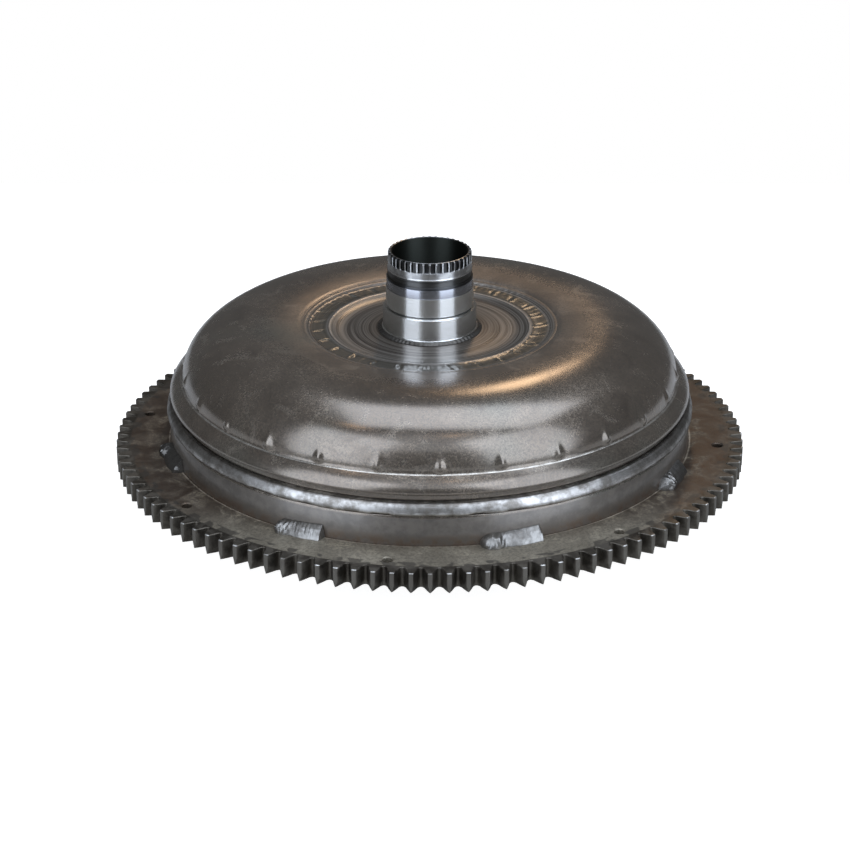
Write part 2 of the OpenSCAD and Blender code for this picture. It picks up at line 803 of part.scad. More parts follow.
module bearing_cage(mid_z) {
    half_t = 0.5;
    window_gap = 0.1;
    color([0.6, 0.52, 0.35])
        difference() {
            ring(bearing_in_r + 0.5, bearing_out_r - 0.7, mid_z - half_t, mid_z + half_t);
            spin(needle_count)
                translate([needle_in_r - window_gap, -needle_r - window_gap, mid_z - 1])
                    cube([needle_l + 2 * window_gap, 2 * (needle_r + window_gap), 2]);
        }
}

module bearing_needles(mid_z) {
    color(steel_bright())
        spin(needle_count)
            translate([needle_in_r, 0, mid_z])
                rotate([0, 90, 0]) cylinder(r = needle_r, h = needle_l);
}

module hub_bearing_cage() { bearing_cage(hub_needle_z); }
module hub_bearing_needles() { bearing_needles(hub_needle_z); }
module turbine_bearing_cage() { bearing_cage(turbine_needle_z); }
module turbine_bearing_needles() { bearing_needles(turbine_needle_z); }

front_cover();
crankshaft_pilot();
pilot_weld();
flexplate_nuts();
balance_weight();
ring_gear();
ring_gear_welds();
impeller_shell();
closure_weld();
impeller_hub();
hub_weld();
impeller_blades();
impeller_core_ring();
impeller_bearing_race();
turbine_shell();
turbine_blades();
turbine_core_ring();
turbine_hub();
turbine_rivets();
turbine_bearing_race();
piston_seal_ring();
cover_thrust_washer();
damper_driven_plate();
damper_drive_plate();
damper_springs();
lockup_piston();
friction_lining();
stator_wheel();
clutch_outer_race();
clutch_rollers();
clutch_springs();
clutch_lower_plate();
clutch_upper_plate();
clutch_snap_ring();
stator_lower_race();
stator_upper_race();
clutch_inner_race();
hub_bearing_cage();
hub_bearing_needles();
turbine_bearing_cage();
turbine_bearing_needles();
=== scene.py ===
import math

import bmesh
import bpy
import numpy as np
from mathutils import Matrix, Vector
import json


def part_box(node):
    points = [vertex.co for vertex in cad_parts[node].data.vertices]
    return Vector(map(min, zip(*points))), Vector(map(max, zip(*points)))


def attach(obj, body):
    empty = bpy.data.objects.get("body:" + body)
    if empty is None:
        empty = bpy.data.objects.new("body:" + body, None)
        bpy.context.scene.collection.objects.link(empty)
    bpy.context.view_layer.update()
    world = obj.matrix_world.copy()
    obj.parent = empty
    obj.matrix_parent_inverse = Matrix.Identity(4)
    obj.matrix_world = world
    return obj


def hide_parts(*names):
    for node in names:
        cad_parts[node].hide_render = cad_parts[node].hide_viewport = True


# Torque converter. Lengths in this script are millimetres, and MM turns them into Blender's metres.
# Angles round the axis are degrees from the side that faces the camera (-Y), growing towards +X.
MM = 0.001
TURN = 2 * math.pi

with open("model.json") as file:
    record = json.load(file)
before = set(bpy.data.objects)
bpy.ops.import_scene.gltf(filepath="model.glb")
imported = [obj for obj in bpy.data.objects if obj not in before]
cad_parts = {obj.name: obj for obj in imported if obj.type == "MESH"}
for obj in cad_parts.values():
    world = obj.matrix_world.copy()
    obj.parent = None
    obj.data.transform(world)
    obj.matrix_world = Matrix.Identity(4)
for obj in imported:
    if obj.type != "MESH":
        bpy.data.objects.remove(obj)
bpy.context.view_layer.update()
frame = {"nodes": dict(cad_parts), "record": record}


# ---------------------------- sizes read from the frame

def low(node, axis=2):
    """The least coordinate of a CAD node along an axis, which is the height unless told otherwise."""
    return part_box(node)[0][axis] / MM


def high(node, axis=2):
    """The greatest coordinate of a CAD node along an axis."""
    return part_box(node)[1][axis] / MM


def mount(name):
    """The dimensions of one of the record's mounts."""
    return next(m["dims"] for m in frame["record"]["mounts"] if m["name"] == name)


RING_LOW, RING_TOP, TIP_R = low("ring_gear"), high("ring_gear"), high("ring_gear", 1)
COVER_R, COVER_LOW, COVER_TOP = high("front_cover", 0), low("front_cover"), high("front_cover")
COVER_FLOOR_Z = COVER_LOW + 1.6
PILOT_R, PILOT_BASE_R = mount("crankshaft_pilot")["r_mm"], high("crankshaft_pilot", 0)
PILOT_TOP = high("crankshaft_pilot")
NUT_LOW, NUT_BOLTS = low("flexplate_nuts"), mount("flexplate_bolts")
CROWN_Z, NECK_Z, BAND_R = high("impeller_shell"), low("impeller_shell"), high("impeller_shell", 0)
BEAD_R, BEAD_LOW, BEAD_TOP = high("closure_weld", 0), low("closure_weld"), high("closure_weld")
FLANGE_R, FLANGE_LOW, HUB_TOP = high("impeller_hub", 0), low("impeller_hub"), high("impeller_hub")
WELD_TOP = high("hub_weld")

# Starter teeth
TEETH = 114
MODULE = TIP_R / (TEETH / 2 + 1)
ROOT_R = TIP_R - 2.25 * MODULE
TOOTH_TOP_HALF = 1.0
LEAD_IN = 3.2
CHAMFER = 0.3

# Holes and tack welds on the ring gear's web; the starts and the sweep are degrees
WEB_HOLES = mount("ring_gear_web_holes")["count"]
WEB_HOLE_CIRCLE_R = mount("ring_gear_web_holes")["pcd_mm"] / 2
WEB_HOLE_R = mount("ring_gear_web_holes")["hole_r_mm"]
WEB_HOLE_START = -7.7
TACK_START = 12.2
TACK_SWEEP = 11

# Impeller shell: dish round the hub with a rolled track in it, crown, crease and band
DISH_R, DISH_Z = 58.5, CROWN_Z - 3.8
TRACK_IN_R, TRACK_OUT_R = 48.7, 54.3
CROWN_R = 78
CREASE_R, CREASE_Z = 115.2, CROWN_Z - 25
BAND_Z = CREASE_Z - 6.9
SHELL_T = 3
NECK_R = 118.3

# Bumps over the blades' ends, above the crease, and tabs in the track; the starts are degrees
BLADES = 27
BUMP_START = 2.1
BUMP_RISE = 2.9
BUMP_HEIGHT = 0.95
TAB_START = -3.3
TAB_HEIGHT = 0.28

# Hub, from the seal journal up: step, bushing journal, dull band, groove, collar and spline
SEAL_R, BUSH_R = mount("pump_seal_journal")["r_mm"], mount("pump_bushing_journal")["r_mm"]
SPLINE_R, MOUTH_R, BORE_R = 19.3, 17.5, mount("hub_bore")["r_mm"]
SEAL_STEP_Z = HUB_TOP - 26.2
DULL_LOW_Z = HUB_TOP - 16.75
GROOVE_LOW_Z = HUB_TOP - 11.5
COLLAR_LOW_Z, COLLAR_TOP_Z = HUB_TOP - 9, HUB_TOP - 7.65
SPLINE_Z = HUB_TOP - 4.7
SPLINES = 40
SLOT_FLOOR_R = 18.15
MOUTH_DEPTH, MOUTH_TAPER = 14, 1.5


# ---------------------------- mesh building

def build(name, points, faces, sharp=35):
    """An object from points in millimetres and lists of corner numbers, smooth up to the sharp angle."""
    mesh = bpy.data.meshes.new(name)
    mesh.from_pydata((np.asarray(points) * MM).tolist(), [], [list(f) for f in faces])
    mesh.validate()
    shade(mesh, sharp)
    piece = bpy.data.objects.new(name, mesh)
    bpy.context.scene.collection.objects.link(piece)
    return piece


def shade(mesh, sharp):
    """Smooth shading, apart from edges that bend by more than the sharp angle in degrees."""
    mesh.polygons.foreach_set("use_smooth", [True] * len(mesh.polygons))
    mesh.set_sharp_from_angle(angle=math.radians(sharp))


def finish_piece(piece, body, slot, material, *stands_for):
    """Gives the piece its material and body, and hides the CAD nodes that it stands for. The slot argument is
    not used.
    """
    piece.data.materials.append(material)
    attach(piece, body)
    if stands_for:
        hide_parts(*stands_for)
    return piece


def xyz(r, angle, z):
    """Points from radius, angle in degrees from the front, and height."""
    a = np.radians(np.asarray(angle, float) - 90)
    return np.stack(np.broadcast_arrays(r * np.cos(a), r * np.sin(a), np.asarray(z, float)), -1)


def grid_faces(rows, columns, wrap_rows=True, wrap_columns=True):
    """Four-cornered faces over a grid of points, closed in both directions unless told otherwise."""
    i = np.arange(rows if wrap_rows else rows - 1)[:, None]
    j = np.arange(columns if wrap_columns else columns - 1)[None, :]
    i2, j2 = (i + 1) % rows, (j + 1) % columns
    corners = np.broadcast_arrays(i * columns + j, i * columns + j2, i2 * columns + j2, i2 * columns + j)
    return np.stack(corners, -1).reshape(-1, 4)


def normals(profile):
    """Outward unit normals of a closed profile that runs anticlockwise in (radius, height)."""
    along = np.roll(profile, -1, 0) - np.roll(profile, 1, 0)
    n = np.stack([along[:, 1], -along[:, 0]], -1)
    return n / np.maximum(np.linalg.norm(n, axis=1, keepdims=True), 1e-9)


def turned(profile, angles, offset=None):
    """Points and faces of a closed anticlockwise profile turned through the angles of a full circle.
    offset(r, z, angles) in millimetres moves each point along the profile's normal."""
    r, z = profile[:, :1], profile[:, 1:]
    if offset is not None:
        n = normals(profile)
        d = offset(r, z, angles[None, :])
        r, z = r + d * n[:, :1], z + d * n[:, 1:]
    angle, r, z = np.broadcast_arrays(angles[None, :], r, z)
    return xyz(r, angle, z).reshape(-1, 3), grid_faces(len(profile), len(angles))


def weld_poles(piece):
    """Joins the points that meet on the axis."""
    work = bmesh.new()
    work.from_mesh(piece.data)
    bmesh.ops.remove_doubles(work, verts=work.verts, dist=1e-7)
    work.to_mesh(piece.data)
    work.free()


def lathe(name, profile, columns=360, offset=None, sharp=35):
    """A turned piece; columns is how many evenly spaced columns it has, or their angles."""
    angles = np.arange(columns) * 360 / columns if isinstance(columns, int) else columns
    points, faces = turned(np.asarray(profile, float), angles, offset)
    piece = build(name, points, faces, sharp)
    if np.min(np.asarray(profile)[:, 0]) < 1e-6:
        weld_poles(piece)
    return piece


def arc(cr, cz, a, b, start, end, steps):
    """Points along an ellipse with centre (cr, cz) and half axes a and b, between two angles in degrees."""
    t = np.radians(np.linspace(start, end, steps + 1))
    return np.stack([cr + a * np.cos(t), cz + b * np.sin(t)], -1)


def rounded(corners, radius, steps=3):
    """A closed outline with each corner replaced by a small curve."""
    corners = np.asarray(corners, float)
    out = []
    for k, here in enumerate(corners):
        before, after = corners[k - 1] - here, corners[(k + 1) % len(corners)] - here
        la, lb = np.linalg.norm(before), np.linalg.norm(after)
        cut = min(radius, 0.45 * la, 0.45 * lb)
        start, end = here + before / la * cut, here + after / lb * cut
        for t in np.linspace(0, 1, steps + 1):
            out.append((1 - t) ** 2 * start + 2 * t * (1 - t) * here + t * t * end)
    return np.array(out)


def smooth_curve(points, steps):
    """A curve through the points, with that many steps between each two."""
    p = np.asarray(points, float)
    p = np.vstack([2 * p[0] - p[1], p, 2 * p[-1] - p[-2]])
    t = np.linspace(0, 1, steps, endpoint=False)[:, None]
    out = []
    for a, b, c, d in zip(p, p[1:], p[2:], p[3:]):
        out.append(0.5 * (2 * b + (c - a) * t + (2 * a - 5 * b + 4 * c - d) * t**2
                          + (3 * b - a - 3 * c + d) * t**3))
    return np.vstack(out + [p[-2:-1]])


def step(value, start, end):
    """0 before start, 1 after end, smooth between them."""
    t = np.clip((value - start) / (end - start), 0, 1)
    return t * t * (3 - 2 * t)


def near(value, centre, width):
    """1 at the centre, falling as a bell curve."""
    return np.exp(-(((value - centre) / width) ** 2))


def apart(angles, start, count):
    """Signed degrees from the nearest of count evenly spaced angles."""
    pitch = 360 / count
    return (angles - start + pitch / 2) % pitch - pitch / 2


def wander(angles, across, seed, slow, fast, reach, terms=28):
    """Smooth seeded noise of about +-1 that closes round the axis; slow and fast are its waves per turn,
    and reach is the size of its features across, in millimetres."""
    rng = np.random.default_rng(seed)
    total = 0
    for _ in range(terms):
        waves = int(rng.integers(slow, fast + 1))
        total = total + np.cos(np.radians(angles) * waves + across * rng.uniform(-1, 1) * TURN / reach
                               + rng.uniform(0, TURN))
    return total / math.sqrt(terms / 2)


def repeated(points, faces, count, start=0.0):
    """Copies of a shape spaced evenly round the axis."""
    points, all_points, all_faces = np.asarray(points, float), [], []
    for k in range(count):
        a = math.radians(start + k * 360 / count)
        turn = np.array([[math.cos(a), -math.sin(a), 0], [math.sin(a), math.cos(a), 0], [0, 0, 1]])
        all_faces += [[c + len(points) * k for c in f] for f in faces]
        all_points.append(points @ turn.T)
    return np.vstack(all_points), all_faces


def swept(path, section, closed_ends=True):
    """A tube that carries a round section (points in its own plane) along a path of points."""
    path = np.asarray(path, float)
    ahead = np.gradient(path, axis=0)
    ahead /= np.linalg.norm(ahead, axis=1, keepdims=True)
    side = np.cross(ahead[0], [0.13, 0.27, 0.95])
    points = []
    for p, t in zip(path, ahead):
        side = side - t * side.dot(t)
        side /= np.linalg.norm(side)
        up = np.cross(t, side)
        points.append(p + section[:, :1] * side + section[:, 1:] * up)
    n = len(section)
    faces = [list(f) for f in grid_faces(len(path), n, wrap_rows=False)]
    if closed_ends:
        faces += [list(range(n))[::-1], list(range((len(path) - 1) * n, len(path) * n))]
    return np.vstack(points), faces


def circle(radius, count):
    """Evenly spaced points round the origin of a plane."""
    a = np.arange(count) * TURN / count
    return np.stack([np.cos(a), np.sin(a)], -1) * radius


# ---------------------------- materials

class Paint:
    """A node material in the making. Its methods add a node and return its output."""

    def __init__(self, name, **constants):
        self.material = bpy.data.materials.new(name)
        self.material.use_nodes = True
        self.tree = self.material.node_tree
        self.shader = self.tree.nodes["Principled BSDF"]
        self.set(**constants)
        metres = self.node("ShaderNodeTexCoord", output="Object")
        self.place = self.node("ShaderNodeVectorMath", {0: metres, 3: 1 / MM}, operation="SCALE")
        flat = self.node("ShaderNodeVectorMath", {0: self.place, 1: (1, 1, 0)}, operation="MULTIPLY")
        self.radius = self.node("ShaderNodeVectorMath", {0: flat}, "Value", operation="LENGTH")
        self.out = self.node("ShaderNodeVectorMath", {0: flat}, operation="NORMALIZE")
        self.height = self.node("ShaderNodeSeparateXYZ", {0: self.place}, "Z")
        self.back = self.node("ShaderNodeSeparateXYZ", {0: self.place}, "Y")

    def node(self, kind, inputs=(), output=0, **settings):
        """Adds a node with these inputs, which are links or values, and returns one of its outputs."""
        made = self.tree.nodes.new(kind)
        for key, value in settings.items():
            setattr(made, key, value)
        for key, value in dict(inputs).items():
            if isinstance(value, bpy.types.NodeSocket):
                self.tree.links.new(value, made.inputs[key])
            else:
                made.inputs[key].default_value = value
        return made.outputs[output]

    def set(self, **values):
        """Sets the shader's inputs; the names have _ for a space."""
        for key, value in values.items():
            socket = self.shader.inputs[key.replace("_", " ")]
            if isinstance(value, bpy.types.NodeSocket):
                self.tree.links.new(value, socket)
            else:
                socket.default_value = (*value, 1) if isinstance(value, tuple) else value
        return self

    def math(self, operation, a, b=0.0):
        """One sum, product or the like of two numbers."""
        return self.node("ShaderNodeMath", {0: a, 1: b}, operation=operation)

    def ramp(self, value, start, end, first=0.0, last=1.0):
        """first up to start, last from end on, smooth between them."""
        return self.node("ShaderNodeMapRange", {0: value, 1: start, 2: end, 3: first, 4: last},
                         interpolation_type="SMOOTHSTEP")

    def band(self, value, start, end, soft):
        """1 between start and end, 0 outside."""
        return self.math("MULTIPLY", self.ramp(value, start - soft, start),
                         self.ramp(value, end, end + soft, 1.0, 0.0))

    def noise(self, size, detail=4.0, rough=0.55, vector=None, distortion=0.0):
        """Noise of about 0 to 1 whose features are size millimetres across."""
        return self.node("ShaderNodeTexNoise", {"Vector": vector or self.place, "Scale": 1 / size,
                         "Detail": detail, "Roughness": rough, "Distortion": distortion})

    def turned(self, across, around, detail=3.0):
        """Noise in thin rings: across millimetres wide, and around of them per radian along the ring."""
        reach = self.math("ADD", self.radius, self.height)
        lift = self.node("ShaderNodeCombineXYZ", {2: self.math("DIVIDE", reach, across)})
        ring = self.node("ShaderNodeVectorMath", {0: self.out, 3: around}, operation="SCALE")
        vector = self.node("ShaderNodeVectorMath", {0: ring, 1: lift}, operation="ADD")
        return self.node("ShaderNodeTexNoise", {"Vector": vector, "Scale": 1.0, "Detail": detail,
                         "Roughness": 0.6})

    def flecks(self, size, share):
        """1 in small ragged flecks; a lower share leaves fewer of them."""
        return self.ramp(self.noise(size, 3, 0.6), 0.78 - share, 0.82 - share)

    def mix(self, factor, a, b):
        """Colour a where the factor is 0, and b where it is 1."""
        a, b = [(*c, 1) if isinstance(c, tuple) else c for c in (a, b)]
        return self.node("ShaderNodeMix", {0: factor, 6: a, 7: b}, 2, data_type="RGBA")

    def blend(self, factor, a, b):
        """Number a where the factor is 0, and b where it is 1."""
        return self.node("ShaderNodeMix", {0: factor, 2: a, 3: b}, data_type="FLOAT")

    def bump(self, height, depth, under=None):
        """A bump whose height runs from 0 to depth millimetres."""
        inputs = {"Height": height, "Distance": depth * MM, "Strength": 1.0}
        if under is not None:
            inputs["Normal"] = under
        return self.node("ShaderNodeBump", inputs)

    def circumferential(self):
        """Turns the anisotropic highlight across the grooves of a turned surface."""
        self.set(Tangent=self.node("ShaderNodeTangent", direction_type="RADIAL", axis="Z"),
                 Anisotropic_Rotation=0.25)
        return self


def sheet_tint(p, clouds, smears, grain):
    """Drawn sheet of the dome: brown clouds, an olive cast, pale smears, soot and a dark grain."""
    tint = p.mix(p.ramp(clouds, 0.40, 0.62), (0.198, 0.162, 0.127), (0.272, 0.224, 0.176))
    tint = p.mix(p.ramp(p.noise(70, 3), 0.5, 0.7), tint, (0.205, 0.192, 0.158))
    tint = p.mix(p.math("MULTIPLY", smears, 0.55), tint, (0.35, 0.305, 0.25))
    soot = p.ramp(p.noise(24, 6, 0.66, distortion=1.1), 0.55, 0.72, 0.0, 0.6)
    tint = p.mix(soot, tint, (0.125, 0.100, 0.080))
    return p.mix(p.ramp(grain, 0.36, 0.6, 0.65, 0.0), tint, (0.12, 0.106, 0.092))


def dish_tint(p, rings, fine):
    """Turned dish: fine rings, a dark rolled track, painted shade round the hub's foot, and a painted
    highlight along its two ridges.
    """
    tint = p.mix(p.ramp(rings, 0.38, 0.62), (0.10, 0.086, 0.072), (0.27, 0.25, 0.222))
    track = p.math("MULTIPLY", p.band(p.radius, TRACK_IN_R, TRACK_OUT_R, 1.0), 0.7)
    tint = p.mix(track, tint, (0.10, 0.092, 0.07))
    # Painted shade: dark brown round the hub's foot.
    tint = p.mix(p.ramp(p.radius, 23, 34, 0.6, 0.0), tint, (0.09, 0.07, 0.052))
    # Painted highlight: a bright line along each of the two ridges.
    ridges = p.math("MAXIMUM", p.band(p.radius, TRACK_IN_R - 2.4, TRACK_IN_R - 2, 0.3),
                    p.band(p.radius, DISH_R - 1, DISH_R - 0.7, 0.3))
    return p.mix(p.math("MULTIPLY", ridges, p.ramp(fine, 0.3, 0.6, 0.3, 0.9)), tint, (0.56, 0.52, 0.46))


def wall_tint(p, fine):
    """Cover's wall: dark sheet with a brown stain just above the ring gear."""
    sheet = p.mix(p.ramp(fine, 0.35, 0.65), (0.14, 0.124, 0.105), (0.185, 0.163, 0.138))
    stain = p.math("MULTIPLY", p.band(p.height, RING_TOP - 1, RING_TOP + 1.5, 5),
                   p.ramp(fine, 0.4, 0.62, 0.2, 0.85))
    return p.mix(stain, sheet, (0.13, 0.088, 0.06))


def painted_crease_highlight(p, fine):
    """Painted highlight along the crease: a thin bright line, patchy, and fainter towards the back."""
    line = p.math("MULTIPLY", p.band(p.height, CREASE_Z - 0.34, CREASE_Z - 0.06, 0.1),
                  p.ramp(p.back, -90, 20, 1.0, 0.25))
    return p.math("MULTIPLY", line, p.ramp(fine, 0.3, 0.6, 0.25, 0.95))


def housing_steel():
    """Dark drawn sheet under an oily gloss, with a turned dish, a painted highlight along the crease and a
    stained wall.
    """
    p = Paint("housing_steel", Metallic=0.74, Coat_Weight=0.64, Coat_Roughness=0.19)
    clouds = p.noise(38, 5, 0.6)
    fine = p.noise(5, 5, 0.65)
    grain = p.noise(0.9, 3, 0.7)
    rings = p.turned(0.6, 0.45)
    dish = p.ramp(p.radius, DISH_R - 2.5, DISH_R, 1.0, 0.0)
    wall = p.ramp(p.height, BEAD_LOW - 1.5, BEAD_LOW - 0.5, 1.0, 0.0)
    smears = p.ramp(p.noise(17, 7, 0.68, distortion=1.6), 0.52, 0.7)

    tint = p.mix(dish, sheet_tint(p, clouds, smears, grain), dish_tint(p, rings, fine))
    tint = p.mix(wall, tint, wall_tint(p, fine))
    # Painted highlight: a thin bright line along the crease.
    tint = p.mix(painted_crease_highlight(p, fine), tint, (0.54, 0.51, 0.455))
    tint = p.mix(p.math("MULTIPLY", p.flecks(3.4, 0.0), 0.35), tint, (0.5, 0.47, 0.42))
    tint = p.mix(p.math("MULTIPLY", p.flecks(2.2, 0.02), 0.6), tint, (0.05, 0.045, 0.04))

    gloss = p.blend(p.ramp(clouds, 0.35, 0.7), 0.18, 0.23)
    gloss = p.math("ADD", gloss, p.ramp(grain, 0.4, 0.7, 0.0, 0.07))
    gloss = p.math("ADD", gloss, p.math("MULTIPLY", smears, 0.10))
    gloss = p.math("ADD", gloss, p.ramp(p.radius, DISH_R + 1.5, CROWN_R + 6, 0.15, 0.0))
    gloss = p.blend(dish, gloss, p.blend(p.ramp(rings, 0.3, 0.7), 0.27, 0.40))
    gloss = p.blend(wall, gloss, 0.44)

    lines = p.bump(p.blend(dish, 0.5, rings), 0.03)
    lines = p.bump(fine, 0.012, lines)
    lines = p.bump(grain, 0.003, lines)
    film = p.bump(grain, 0.010, p.bump(fine, 0.03))
    return p.set(Base_Color=tint, Roughness=gloss, Normal=lines, Coat_Normal=film).material


def tooth_tint(p, film):
    """Dark teeth, lighter on their tips, with a painted highlight along the upper edge."""
    tint = p.mix(p.ramp(film, 0.4, 0.6), (0.082, 0.072, 0.058), (0.145, 0.13, 0.108))
    tint = p.mix(p.ramp(p.radius, TIP_R - 0.5, TIP_R - 0.1, 0.0, 0.7), tint, (0.20, 0.185, 0.16))
    # Painted highlight: a bright line along the teeth's upper edge.
    rim_highlight = p.math("MULTIPLY", p.ramp(p.height, RING_TOP - 0.4, RING_TOP - 0.15),
                 p.ramp(p.radius, TIP_R - 0.9, TIP_R - 0.2))
    return p.mix(p.math("MULTIPLY", rim_highlight, p.ramp(p.noise(4, 3), 0.3, 0.6)), tint, (0.72, 0.71, 0.68))


def gear_steel():
    """Ring gear: dull grey web, painted shade that turns it dark brown towards the sides and back, dust, dark
    stains near the teeth and grit.
    """
    p = Paint("gear_steel")
    film = p.noise(9, 6, 0.65, distortion=0.6)
    patches = p.noise(26, 4, 0.6)
    grit = p.noise(1.1, 3, 0.7)
    web = p.ramp(p.radius, ROOT_R - 1.4, ROOT_R - 0.6, 1.0, 0.0)

    # Painted shade: the web goes dark brown away from the front.
    shade_behind = p.ramp(p.back, -118, -70)
    steel = p.mix(p.ramp(patches, 0.4, 0.65), (0.265, 0.235, 0.180), (0.37, 0.33, 0.255))
    steel = p.mix(p.math("MULTIPLY", shade_behind, p.ramp(film, 0.3, 0.7, 1.0, 0.78)), steel, (0.072, 0.047, 0.031))
    oval = p.math("MULTIPLY", p.band(p.radius, WEB_HOLE_CIRCLE_R + 2.1, ROOT_R, 1.2),
                  p.ramp(p.noise(7, 1), 0.5, 0.56))
    steel = p.mix(p.math("MULTIPLY", oval, 0.75), steel, (0.055, 0.05, 0.042))
    dust = p.math("MULTIPLY", p.ramp(film, 0.46, 0.66),
                  p.ramp(p.radius, COVER_R + 2, WEB_HOLE_CIRCLE_R, 0.8, 0.2))
    earth = p.mix(p.ramp(grit, 0.4, 0.62), (0.10, 0.075, 0.048), (0.33, 0.28, 0.19))
    tint = p.mix(p.math("MULTIPLY", dust, 0.7), steel, earth)
    corner = p.band(p.radius, COVER_R + 0.1, COVER_R + 0.8, 0.4)
    tint = p.mix(p.math("MULTIPLY", corner, p.ramp(film, 0.3, 0.55, 0.35, 0.95)), tint, (0.46, 0.39, 0.30))
    tint = p.mix(p.ramp(grit, 0.35, 0.6, 0.5, 0.0), tint, (0.085, 0.072, 0.058))
    tint = p.mix(web, tooth_tint(p, film), tint)

    gloss = p.blend(dust, p.ramp(film, 0.3, 0.7, 0.36, 0.5), 0.7)
    metal = p.blend(web, 0.9, p.blend(dust, 0.6, 0.2))
    rough = p.bump(grit, 0.02)
    rough = p.bump(film, 0.06, rough)
    return p.set(Base_Color=tint, Metallic=metal, Roughness=gloss, Normal=rough).material


def machined_steel():
    """Ground journals, a duller band, a worn collar, and painted shade in the grooves, spline slots and bore.
    """
    p = Paint("machined_steel", Metallic=1.0, Anisotropic=0.95).circumferential()
    grind = p.turned(0.16, 2.5)
    smudge = p.noise(6, 4, 0.6)
    tint = p.mix(p.ramp(grind, 0.35, 0.7), (0.76, 0.76, 0.74), (0.83, 0.83, 0.81))
    tint = p.mix(p.ramp(smudge, 0.58, 0.8), tint, (0.62, 0.61, 0.59))
    dull = p.band(p.height, DULL_LOW_Z, GROOVE_LOW_Z - 0.2, 0.08)
    tint = p.mix(p.math("MULTIPLY", dull, 0.85), tint, (0.34, 0.35, 0.39))
    top = p.ramp(p.height, COLLAR_TOP_Z - 0.35, COLLAR_TOP_Z + 0.25)
    worn = p.math("MULTIPLY", top, p.ramp(p.noise(3, 3, 0.6), 0.35, 0.65, 0.35, 0.7))
    tint = p.mix(worn, tint, (0.26, 0.26, 0.27))
    # Painted shade: dark over the groove and the collar below the spline, and in the relief under the step.
    groove = p.math("MULTIPLY", p.band(p.height, GROOVE_LOW_Z - 1.1, COLLAR_TOP_Z - 0.55, 0.15), 0.9)
    groove = p.math("MAXIMUM", groove, p.band(p.height, SEAL_STEP_Z + 0.03, SEAL_STEP_Z + 0.42, 0.04))
    # Painted shade in the spline slots.
    slots = p.math("MULTIPLY", p.ramp(p.height, SPLINE_Z - 0.1, SPLINE_Z + 0.2),
                   p.ramp(p.radius, SPLINE_R - 0.4, SPLINE_R - 0.1, 1.0, 0.0))
    slots = p.math("MULTIPLY", slots, p.ramp(p.height, HUB_TOP - 0.12, HUB_TOP - 0.03, 1.0, 0.0))
    dark = p.math("MAXIMUM", groove, slots)
    tint = p.mix(p.math("MULTIPLY", dark, 0.95), tint, (0.025, 0.025, 0.024))
    # Painted shade inside the counterbore and bore.
    inside = p.ramp(p.radius, MOUTH_R + 0.05, MOUTH_R + 0.3, 1.0, 0.0)
    tint = p.mix(inside, tint, (0.055, 0.06, 0.052))
    gloss = p.blend(p.ramp(grind, 0.3, 0.7), 0.25, 0.27)
    gloss = p.blend(p.math("MAXIMUM", worn, dark), gloss, 0.42)
    gloss = p.blend(inside, gloss, 0.6)
    lines = p.bump(grind, 0.0005)
    return p.set(Base_Color=tint, Roughness=gloss, Normal=lines).material


def weld_metal(name, dark, bright, gloss_low=0.3, gloss_high=0.44, crinkle_depth=0.03):
    """Satin weld bead with clouds of heat tint, faint streaks along the seam, and painted shade towards the
    sides and back.
    """
    p = Paint(name, Metallic=1.0)
    cloud = p.noise(7, 5, 0.65)
    crinkle = p.noise(1.3, 4, 0.6)
    streaks = p.turned(0.5, 8)
    tint = p.mix(p.ramp(cloud, 0.38, 0.64), dark, bright)
    tint = p.mix(p.ramp(crinkle, 0.58, 0.78, 0.0, 0.4), tint, tuple(c * 0.5 for c in dark))
    tint = p.mix(p.ramp(streaks, 0.5, 0.75, 0.0, 0.35), tint, bright)
    # Painted shade: darker towards the sides and back.
    tint = p.mix(p.ramp(p.back, -105, -20, 0.0, 0.6), tint, tuple(c * 0.4 for c in dark))
    gloss = p.ramp(cloud, 0.35, 0.7, gloss_high, gloss_low)
    shape = p.bump(crinkle, crinkle_depth, p.bump(streaks, 0.012))
    return p.set(Base_Color=tint, Roughness=gloss, Normal=shape).material


def metal(name, dark, bright, gloss, grain=1.5, depth=0.01, rings=None, anisotropic=0.0):
    """A metal with cloudy colour and either a fine grain or turning rings."""
    p = Paint(name, Metallic=1.0, Anisotropic=anisotropic)
    if anisotropic:
        p.circumferential()
    cloud = p.noise(11, 4, 0.6)
    texture = p.turned(rings, 3) if rings else p.noise(grain, 5, 0.6)
    tint = p.mix(p.ramp(cloud, 0.35, 0.68), dark, bright)
    tint = p.mix(p.ramp(texture, 0.5, 0.8, 0.0, 0.4), tint, tuple(c * 0.55 for c in dark))
    rough = p.ramp(texture, 0.3, 0.7, gloss * 0.8, gloss * 1.25)
    return p.set(Base_Color=tint, Roughness=rough, Normal=p.bump(texture, depth)).material


def plain_solid(name, dark, bright, gloss, grain, depth):
    """A non-metal with a fine mottled grain."""
    p = Paint(name, Metallic=0.0)
    cloud, texture = p.noise(8, 4, 0.6), p.noise(grain, 6, 0.7)
    tint = p.mix(p.ramp(cloud, 0.35, 0.65), dark, bright)
    tint = p.mix(p.ramp(texture, 0.5, 0.7, 0.0, 0.6), tint, tuple(c * 0.4 for c in dark))
    return p.set(Base_Color=tint, Roughness=p.ramp(texture, 0.3, 0.7, gloss, min(1.0, gloss * 1.3)),
                 Normal=p.bump(texture, depth)).material


